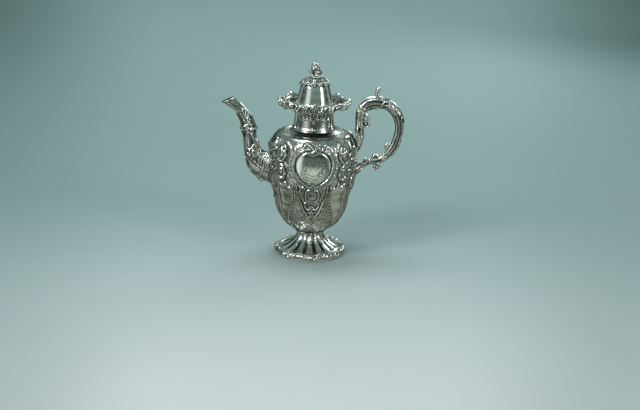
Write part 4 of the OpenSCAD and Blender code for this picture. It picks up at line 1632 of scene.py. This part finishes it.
@dataclass
class Handle:
    """The scroll handle: two sockets on the body, ivory washers and a reeded grip with leaves."""

    def _grip(self, arm: Arm) -> SideRelief:
        """Reeds the grip and lays a long leaf over its outer side."""
        side = SideRelief(arm, 8.0, reeds=8, reed_depth=1.1)
        m, run = side.cells, arm.length
        m.leaf((0, run * 0.27), (0, run * 0.55), 11.0, 2.1, lobes=7)
        m.leaf((side.girth * 0.5, run * 0.3), (side.girth * 0.52, run * 0.48), 4.6, 1.5, lobes=5)
        m.leaf((0, run * 0.93), (0, run * 0.74), 8.0, 1.6, lobes=4)
        m.leaf((side.girth, run * 0.10), (side.girth, run * 0.28), 6.0, 1.4, lobes=4)
        for at in (2.4, run - 2.4):
            m.stroke(np.array([[0, at], [side.girth, at]]), (1.7,), 1.1)
        m.stroke(np.array([[0, run * 0.265], [side.girth, run * 0.24]]), (1.2, 1.6, 1.2), 1.3)
        return side

    def _upper(self, arm: Arm) -> SideRelief:
        """Chases the upper socket."""
        side = SideRelief(arm, 7.5, reeds=6, reed_depth=0.5)
        m, mid = side.cells, side.girth / 2
        m.leaf((mid, 4), (mid, arm.length * 0.46), 6.4, 1.7, lobes=5)
        m.leaf((side.girth, 6), (side.girth, arm.length * 0.5), 7.0, 1.8, lobes=4)
        m.leaf((0, 6), (0, arm.length * 0.5), 6.0, 1.6, lobes=4)
        m.stroke(scroll_line((mid, arm.length * 0.66), 14, 80, Scroll.S, 5.0), (1.0, 1.8, 1.0), 1.9)
        m.leaf((mid, arm.length * 0.76), (mid, arm.length * 0.95), 4.6, 1.5, lobes=3)
        m.stroke(np.array([[0, arm.length - 2.2], [side.girth, arm.length - 2.2]]), (1.7,), 1.1)
        return side

    def _lower(self, arm: Arm) -> SideRelief:
        """Chases the lower socket."""
        side = SideRelief(arm, 5.2, reeds=6, reed_depth=0.45)
        m, mid = side.cells, side.girth / 2
        m.leaf((mid, 3), (mid, arm.length * 0.5), 4.4, 1.3, lobes=5)
        m.leaf((0, arm.length * 0.3), (0, arm.length * 0.75), 4.0, 1.2, lobes=4)
        m.stroke(np.array([[0, arm.length - 2.0], [side.girth, arm.length - 2.0]]), (1.5,), 0.9)
        return side

    def build(self, body: Profile, finishes: Finishes) -> None:
        """Makes both sockets, the grip, the volutes, the thumb spur and the leaves."""
        grip, upper, lower, spur = (Arm(s) for s in (GRIP_SECTIONS, UPPER_SECTIONS, LOWER_SECTIONS,
                                                     SPUR_SECTIONS))
        settle(arm_skin("grip_reeded", grip, 72, 330, self._grip(grip)), POT, Slot.POLISHED, finishes.chased,
               ["handle_grip"])
        settle(arm_skin("upper_socket_cast", upper, 64, 150, self._upper(upper)), POT, Slot.POLISHED,
               finishes.chased, ["upper_socket"])
        settle(arm_skin("lower_socket_cast", lower, 56, 150, self._lower(lower)), POT, Slot.POLISHED,
               finishes.chased, ["lower_socket"])
        spur_side = SideRelief(spur, 3.6)
        spur_side.cells.leaf((spur_side.girth / 2, 0), (spur_side.girth / 2, spur.length), 3.0, 0.8, lobes=4)
        thumb = [arm_skin("spur_stem", spur, 36, 50, spur_side),
                 leaf_on_arm("spur_foot_a", grip, 0.20, 0.30, 0, 5.0, curl=1.0, lobes=3),
                 leaf_on_arm("spur_foot_b", grip, 0.20, 0.10, 0, 5.0, curl=1.0, lobes=3)]
        settle(joined("thumb_leaf", thumb), POT, Slot.CAST, finishes.cast, ["thumb_spur"])
        curl = Volute(87.8, 234.4, 7.2, 8.6, 25, -1, 1.35, ((86.0, 252.5), (91.8, 246.0))).pieces("upper")
        settle(joined("upper_volute", curl), POT, Slot.CAST, finishes.cast, ["upper_curl"])
        over = Volute(107.2, 174.2, 6.6, 8.0, -40, 1, 1.3)
        under = Volute(110.2, 158.6, 6.4, 8.0, 55, -1, 1.3, ((98.0, 165.5), (106.0, 167.0)))
        curls = over.pieces("over") + under.pieces("under")
        settle(joined("lower_volutes", curls), POT, Slot.CAST, finishes.cast, ["lower_curls"])
        leaves = Volute(128.8, 196.6, 3.8, 5.0, 200, -1, 1.2, ((129.6, 184.0), (126.0, 189.5))).pieces("bud")
        leaves += [leaf_on_arm("grip_leaf", grip, 0.30, 0.56, 0, 9.0, lift=1.0, curl=0.2, lobes=6),
                   leaf_on_arm("collar_leaf", grip, 0.05, 0.17, 180, 5.0, lift=0.2, curl=0.4, lobes=3),
                   leaf_on_arm("arm_leaf", lower, 0.18, 0.48, 0, 4.0, curl=1.0, lobes=3)]
        settle(joined("handle_leaves", leaves), POT, Slot.CAST, finishes.cast)
        root = [leaf.build(f"mount_leaf_{n}", body, 3, 14, 26) for n, leaf in enumerate(HANDLE_ROOT)]
        settle(joined("handle_mount_leaves", root), POT, Slot.CAST, finishes.cast)


# Low shine values paint the lid's leaf cap in shade.
CAP_LEAVES = (
    ("large", 0.0, 14.0, 3.6, 0.5,
     LeafShape(12.5, 6.0, lobes=4, lobe_depth=0.45, crown=1.5, rib=1.3, shine=0.58), (24, 44)),
    ("small", 22.5, 12.5, 2.6, 0.2,
     LeafShape(14.0, 4.2, lobes=3, lobe_depth=0.5, crown=1.2, rib=1.2, shine=0.45), (18, 34)),
    ("inner", 11.0, 6.0, 1.6, 0.2,
     LeafShape(10.5, 3.4, lobes=3, lobe_depth=0.4, crown=0.8, rib=0.9, shine=0.5), (14, 26)))


@dataclass
class Lid:
    """The domed lid on its hinge: a plain bell, a leaf cap and a bud finial with leaves."""

    bell_outline: Sequence[Sequence[float]] = (
        (31.4, 267.0), (32.2, 268.2), (31.4, 270.6), (30.2, 275), (28.7, 281), (27.0, 287), (25.4, 293.2),
        (23.5, 298.8), (20.0, 304.4), (13, 309.2), (6, 310.1), (2.2, 310.2))
    knop_outline: Sequence[Sequence[float]] = (
        (2.0, 310.4), (6.6, 310.8), (7.0, 312.2), (4.4, 313.2), (3.2, 314.4), (3.3, 315.6), (5.6, 317.0),
        (2.0, 318.0))
    bud_outline: Sequence[Sequence[float]] = (
        (0.3, 318.5), (4.6, 320.2), (6.2, 323.5), (6.7, 327), (6.0, 331), (4.4, 334.6), (2.4, 337.4),
        (1.1, 339.0), (0.05, 340.0))
    wall: float = 0.8

    def build(self, finishes: Finishes) -> None:
        """Makes the bell, the leaf cap and the finial."""
        outside = evenly(smooth_curve(self.bell_outline, 10), 90)
        inside = inner_wall(outside, self.wall)
        inside[:, 1] = np.maximum(inside[:, 1], 267.0)
        bell = spun_form(np.concatenate([outside, inside[::-4], inside[:1], outside[:1]]) * MM, 220)
        settle(finish_mesh("lid_bell", bell), LID, Slot.POLISHED, finishes.polished, ["lid_dome"])
        profile = Profile(self.bell_outline[::-1])
        blades = []
        for n in range(8):
            for label, turn, start, curl, gap, shape, grid in CAP_LEAVES:
                seat = profile.drape(45 * n + turn, start, 1, shape.length, curl=curl, gap=gap)
                blades.append(leaf_blade(f"cap_leaf_{label}_{n}", shape, seat, *grid))
            for hand in (-1, 1):
                centre = profile.drape(45 * n + hand * 11.2, 0.0, 1, 30.0)
                wind = np.linspace(0, 1, 26)
                turn = hand * wind * TURN * 1.15
                reach = 3.2 * (1 - 0.75 * wind)
                line = centre(reach * np.sin(turn), 21.5 + reach * np.cos(turn), 1.0 + 0.8 * wind) / MM
                blades.append(tube(f"cap_curl_{n}_{hand}", line, (1.1, 0.9, 0.9, 0.5), sides=8))
        settle(joined("lid_leaf_cap", blades), LID, Slot.CAST, finishes.cast, ["lid_calyx"])
        self._finial(finishes)

    def _finial(self, finishes: Finishes) -> None:
        """Makes the knop, the open leaves and the scaled bud."""
        line = evenly(smooth_curve(self.knop_outline, 8), 50)
        knop = spun_form(np.concatenate([line, line[:1]]) * MM, 96)
        settle(finish_mesh("finial_stem", knop), LID, Slot.POLISHED, finishes.polished, ["finial_knop"])
        profile = Profile(((4.2, 316.4), (6.0, 317.2), (8.6, 318.6), (11.0, 320.6), (12.2, 323.2)))
        blades = []
        for n in range(6):
            shape = LeafShape(10.4, 5.4, lobes=3, lobe_depth=0.35, crown=1.8, rib=1.2)
            blades.append(leaf_blade(f"finial_leaf_{n}", shape,
                                     profile.drape(60 * n + 10, 0.0, 1, shape.length, curl=-1.2), 16, 28))
            tip = profile.drape(60 * n + 10, 0.0, 1, 12.0, curl=-1.2)(
                np.array([0.0]), np.array([10.2]), np.array([0.4]))[0] / MM
            blades.append(ball(f"finial_leaf_tip_{n}", tip, (1.5, 1.5, 1.2), tone=0.9))
        settle(joined("finial_open_leaves", blades), LID, Slot.CAST, finishes.cast, ["finial_leaves"])
        bud = spun_form(evenly(smooth_curve(self.bud_outline, 8), 90) * MM, 120)
        places = coordinates(bud)
        angle = azimuths(places)
        rise = (places[:, 2] / MM - 318.5) / 21.5
        scales = (np.abs(np.sin(angle * 2.5 + rise * 9)) * np.abs(np.sin(angle * 2.5 - rise * 9))) ** 0.5
        scales *= np.clip(np.sin(math.pi * np.clip(rise, 0, 1)) * 1.6, 0, 1)
        put(bud, places + normals(bud) * (scales * 1.3 * MM)[:, None])
        # The grooves between the scales get low relief values: oxide and painted shade.
        settle(finish_mesh("finial_scaled_bud", bud, np.clip(scales * 1.1, 0, 1)), LID, Slot.CAST,
               finishes.cast, ["finial_bud"])


# ---------------------------------------------------------------- studio


@dataclass(frozen=True)
class Softbox:
    """A rectangular studio light that looks at a target; lengths in metres."""

    name: str
    place: tuple[float, float, float]
    target: tuple[float, float, float]
    width: float
    height: float
    power: float
    colour: Colour = (1.0, 1.0, 1.0)

    def build(self) -> None:
        """Adds the light to the scene."""
        data = bpy.data.lights.new(self.name, "AREA")
        data.shape = "RECTANGLE"
        data.size, data.size_y, data.energy, data.color = self.width, self.height, self.power, self.colour
        lamp = bpy.data.objects.new(self.name, data)
        bpy.context.scene.collection.objects.link(lamp)
        lamp.location = self.place
        lamp.rotation_euler = (Vector(self.target) - Vector(self.place)).to_track_quat("-Z", "Y").to_euler()


@dataclass
class Studio:
    """Camera, floor, lights and surroundings."""

    eye: tuple[float, float, float] = (0.0, -1.798, 0.6615)
    pitch: float = 17.8
    roll: float = 1.966
    lens: float = 60.47
    shift: float = 0.014
    floor_size: float = 30.0
    lanes: Sequence[tuple[float, float, float]] = (
        (-46, 22, 0.95), (60, 13, 0.66), (112, 16, 0.3), (-118, 14, 0.36), (170, 20, 0.2))
    near: Colour = (0.64, 0.67, 0.69)
    middle: Colour = (0.275, 0.39, 0.39)
    far: Colour = (0.56, 0.76, 0.76)
    corner_shade: Colour = (0.11, 0.2, 0.19)
    softboxes: Sequence[Softbox] = (
        Softbox("overhead", (-0.3, 0.5, 2.6), (0, 0, 0.15), 1.5, 1.0, 28, (0.95, 1.0, 1.0)),
        Softbox("key_left", (-1.5, -1.3, 1.7), (0, 0, 0.2), 0.6, 0.9, 24),
        Softbox("fill_right", (1.8, -1.3, 1.1), (0, 0, 0.2), 0.3, 1.0, 9, (0.95, 1.0, 1.0)),
        Softbox("back_edge", (1.4, 1.8, 1.2), (0, 0, 0.2), 0.8, 0.5, 10, (0.95, 1.0, 1.0)),
        Softbox("distance", (0.0, 3.6, 2.4), (0, 3.8, 0), 2.4, 1.2, 8, (0.96, 0.98, 1.0)))

    def build(self) -> None:
        """Sets everything up."""
        bpy.context.scene.view_settings.view_transform = "Standard"
        data = bpy.data.cameras.new("studio_camera")
        data.lens, data.sensor_width, data.shift_x = self.lens, 36.0, self.shift
        data.clip_start, data.clip_end = 0.05, 100.0
        camera = bpy.data.objects.new("studio_camera", data)
        bpy.context.scene.collection.objects.link(camera)
        tilt = Matrix.Rotation(math.radians(90 - self.pitch), 4, "X")
        lean = Matrix.Rotation(math.radians(self.roll), 4, "Z")
        camera.matrix_world = Matrix.Translation(self.eye) @ tilt @ lean
        bpy.context.scene.camera = camera
        for box in self.softboxes:
            box.build()
        self._floor()
        self._surroundings()

    def _floor(self) -> None:
        """A pale floor that runs on to a soft blue-grey distance, with painted light and shade across it."""
        bm = bmesh.new()
        bmesh.ops.create_grid(bm, x_segments=8, y_segments=8, size=self.floor_size / 2)
        floor = finish_mesh("floor", bm)
        made, w = blank_material("floor_paper")
        place = w.node("TexCoord").outputs["Object"]
        split = w.node("SeparateXYZ")
        w.link(place, split.inputs[0])
        depth = split.outputs["Y"]
        # Painted light and shade: pale in front, darker teal just behind the pot, lighter far off.
        near = w.mix(w.span(depth, -0.7, 0.3, 0.0, 1.0), self.near, self.middle)
        colour = w.mix(w.span(depth, 0.3, 3.8, 0.0, 1.0), near, self.far)
        ahead = w.math("MAXIMUM", w.math("ADD", depth, -self.eye[1]), 1.1)
        aside = w.math("ABSOLUTE", w.math("DIVIDE", split.outputs["X"], ahead))
        # Painted shade darkens the floor towards the sides.
        edge = w.math("MULTIPLY", w.span(aside, 0.13, 0.34, 0.0, 1.0), w.span(depth, -0.6, 3.0, 0.4, 0.8))
        edge = w.math("MULTIPLY", edge, w.span(depth, -1.5, -0.5, 0.0, 1.0))
        colour = w.mix(edge, colour, self.corner_shade)
        fibre = w.noise(place, 60.0, 4.0)
        tint = w.math("MULTIPLY", w.math("SUBTRACT", fibre, 0.5), 0.03)
        shade = w.node("HueSaturation")
        w.link(w.math("ADD", tint, 1.0), shade.inputs["Value"])
        w.link(colour, shade.inputs["Color"])
        shader = w.node("BsdfPrincipled")
        w.link(shade.outputs["Color"], shader.inputs["Base Color"])
        w.link(w.math("ADD", w.math("MULTIPLY", fibre, 0.1), 0.6), shader.inputs["Roughness"])
        painted_reflection = w.node("Emission")
        w.link(self._painted_reflection_room(w, place), painted_reflection.inputs["Color"])
        # Glossy rays see a painted reflection in place of the floor.
        choose = w.node("MixShader")
        w.link(w.node("LightPath").outputs["Is Glossy Ray"], choose.inputs[0])
        w.link(shader.outputs[0], choose.inputs[1])
        w.link(painted_reflection.outputs[0], choose.inputs[2])
        w.link(choose.outputs[0], w.node("OutputMaterial").inputs["Surface"])
        floor.data.materials.append(made)

    def _lanes(self, w: Wiring, place: bpy.types.NodeSocket,
               wanted: Sequence[tuple[float, float, float]]) -> bpy.types.NodeSocket:
        """Bright upright lanes around the pot, from the heading of a place on the floor or in the air; on
        the floor they paint reflections, in the air they light the scene.

        Args:
            w: wiring of the tree.
            place: the place.
            wanted: heading and half-width in degrees, and strength, of each lane.

        Returns:
            Brightness from 0 to 1.
        """
        level = w.node("VectorMath", operation="MULTIPLY")
        w.link(place, level.inputs[0])
        level.inputs[1].default_value = (1.0, 1.0, 0.0)
        heading = w.node("VectorMath", operation="NORMALIZE")
        w.link(level.outputs[0], heading.inputs[0])
        lanes: bpy.types.NodeSocket | None = None
        for turn, narrow, strength in wanted:
            a = math.radians(turn)
            dot = w.node("VectorMath", operation="DOT_PRODUCT")
            w.link(heading.outputs[0], dot.inputs[0])
            dot.inputs[1].default_value = (math.sin(a), -math.cos(a), 0.0)
            edge = math.cos(math.radians(narrow))
            lane = w.math("MULTIPLY", w.span(dot.outputs["Value"], edge, 1.0, 0.0, 1.0), strength)
            lanes = lane if lanes is None else w.math("MAXIMUM", lanes, lane)
        return lanes

    def _painted_reflection_room(self, w: Wiring, place: bpy.types.NodeSocket) -> bpy.types.NodeSocket:
        """Painted reflection: an emitted pattern that only glossy rays see on the floor, so that the silver
        mirrors bright lanes between dark ones, a tray ring and a warm table near the pot, as over a mirror
        tray.
        """
        length = w.node("VectorMath", operation="LENGTH")
        w.link(place, length.inputs[0])
        reach = length.outputs["Value"]
        lanes = w.math("MULTIPLY", self._lanes(w, place, self.lanes), w.span(reach, 0.15, 0.6, 0.3, 1.0))
        clutter = w.span(w.noise(place, 11.0, 4.0), 0.46, 0.62, 0.0, 0.34)
        close = w.span(w.noise(place, 5.5, 1.0), 0.42, 0.62, 0.03, 0.36)
        near = w.math("MULTIPLY", w.span(reach, 0.25, 0.75, 1.0, 0.0), close)
        ring = w.math("MULTIPLY", w.span(reach, 0.26, 0.42, 0.0, 1.0), w.span(reach, 0.52, 0.8, 1.0, 0.0))
        tray = w.math("MULTIPLY", self._lanes(w, place, ((4, 46, 0.9),)), ring)
        tray = w.math("MULTIPLY", tray, w.span(w.noise(place, 24.0, 3.0), 0.4, 0.6, 0.35, 1.0))
        level = w.math("MAXIMUM", w.math("MAXIMUM", lanes, clutter), w.math("MAXIMUM", near, tray))
        room = w.mix(level, (0.02, 0.036, 0.03), (0.76, 0.86, 0.77))
        warmth = w.span(w.noise(place, 13.0, 2.0), 0.4, 0.6, 0.15, 1.0)
        table = w.math("MULTIPLY", w.span(reach, 0.12, 0.42, 0.5, 0.0), warmth)
        return w.mix(table, room, (0.19, 0.165, 0.105))

    def _surroundings(self) -> None:
        """Dim teal surroundings with a darker band low down, which the silver mirrors."""
        world = bpy.data.worlds.new("studio_air")
        bpy.context.scene.world = world
        world.use_nodes = True
        tree = world.node_tree
        tree.nodes.clear()
        w = Wiring(tree)
        split = w.node("SeparateXYZ")
        sight = w.node("TexCoord").outputs["Generated"]
        w.link(sight, split.inputs[0])
        low = w.span(split.outputs["Z"], 0.02, 0.45, 0.0, 1.0)
        shell = w.mix(low, (0.014, 0.026, 0.022), (0.21, 0.3, 0.28))
        lower = w.span(split.outputs["Z"], 0.2, 0.5, 1.0, 0.0)
        panels = w.math("MULTIPLY", self._lanes(w, sight, self.lanes), lower)
        colour = w.mix(panels, shell, (0.78, 0.86, 0.80))
        air = w.node("Background")
        w.link(colour, air.inputs["Color"])
        air.inputs["Strength"].default_value = 0.9
        w.link(air.outputs[0], w.node("OutputWorld").inputs["Surface"])


def main() -> None:
    """Builds the pot piece by piece, then the studio."""
    logging.basicConfig(level=logging.INFO, format="%(name)s: %(message)s")
    finishes = Finishes()
    finishes.dress_nodes(frame["nodes"], NODE_SLOTS)
    vessel = Vessel()
    body = Profile(vessel.body_outline)
    vessel.build(Chaser(), finishes)
    Foot().build(finishes)
    Brim().build(finishes)
    Spout().build(body, finishes)
    Handle().build(body, finishes)
    Lid().build(finishes)
    Studio().build()


if __name__ == "__main__":
    main()
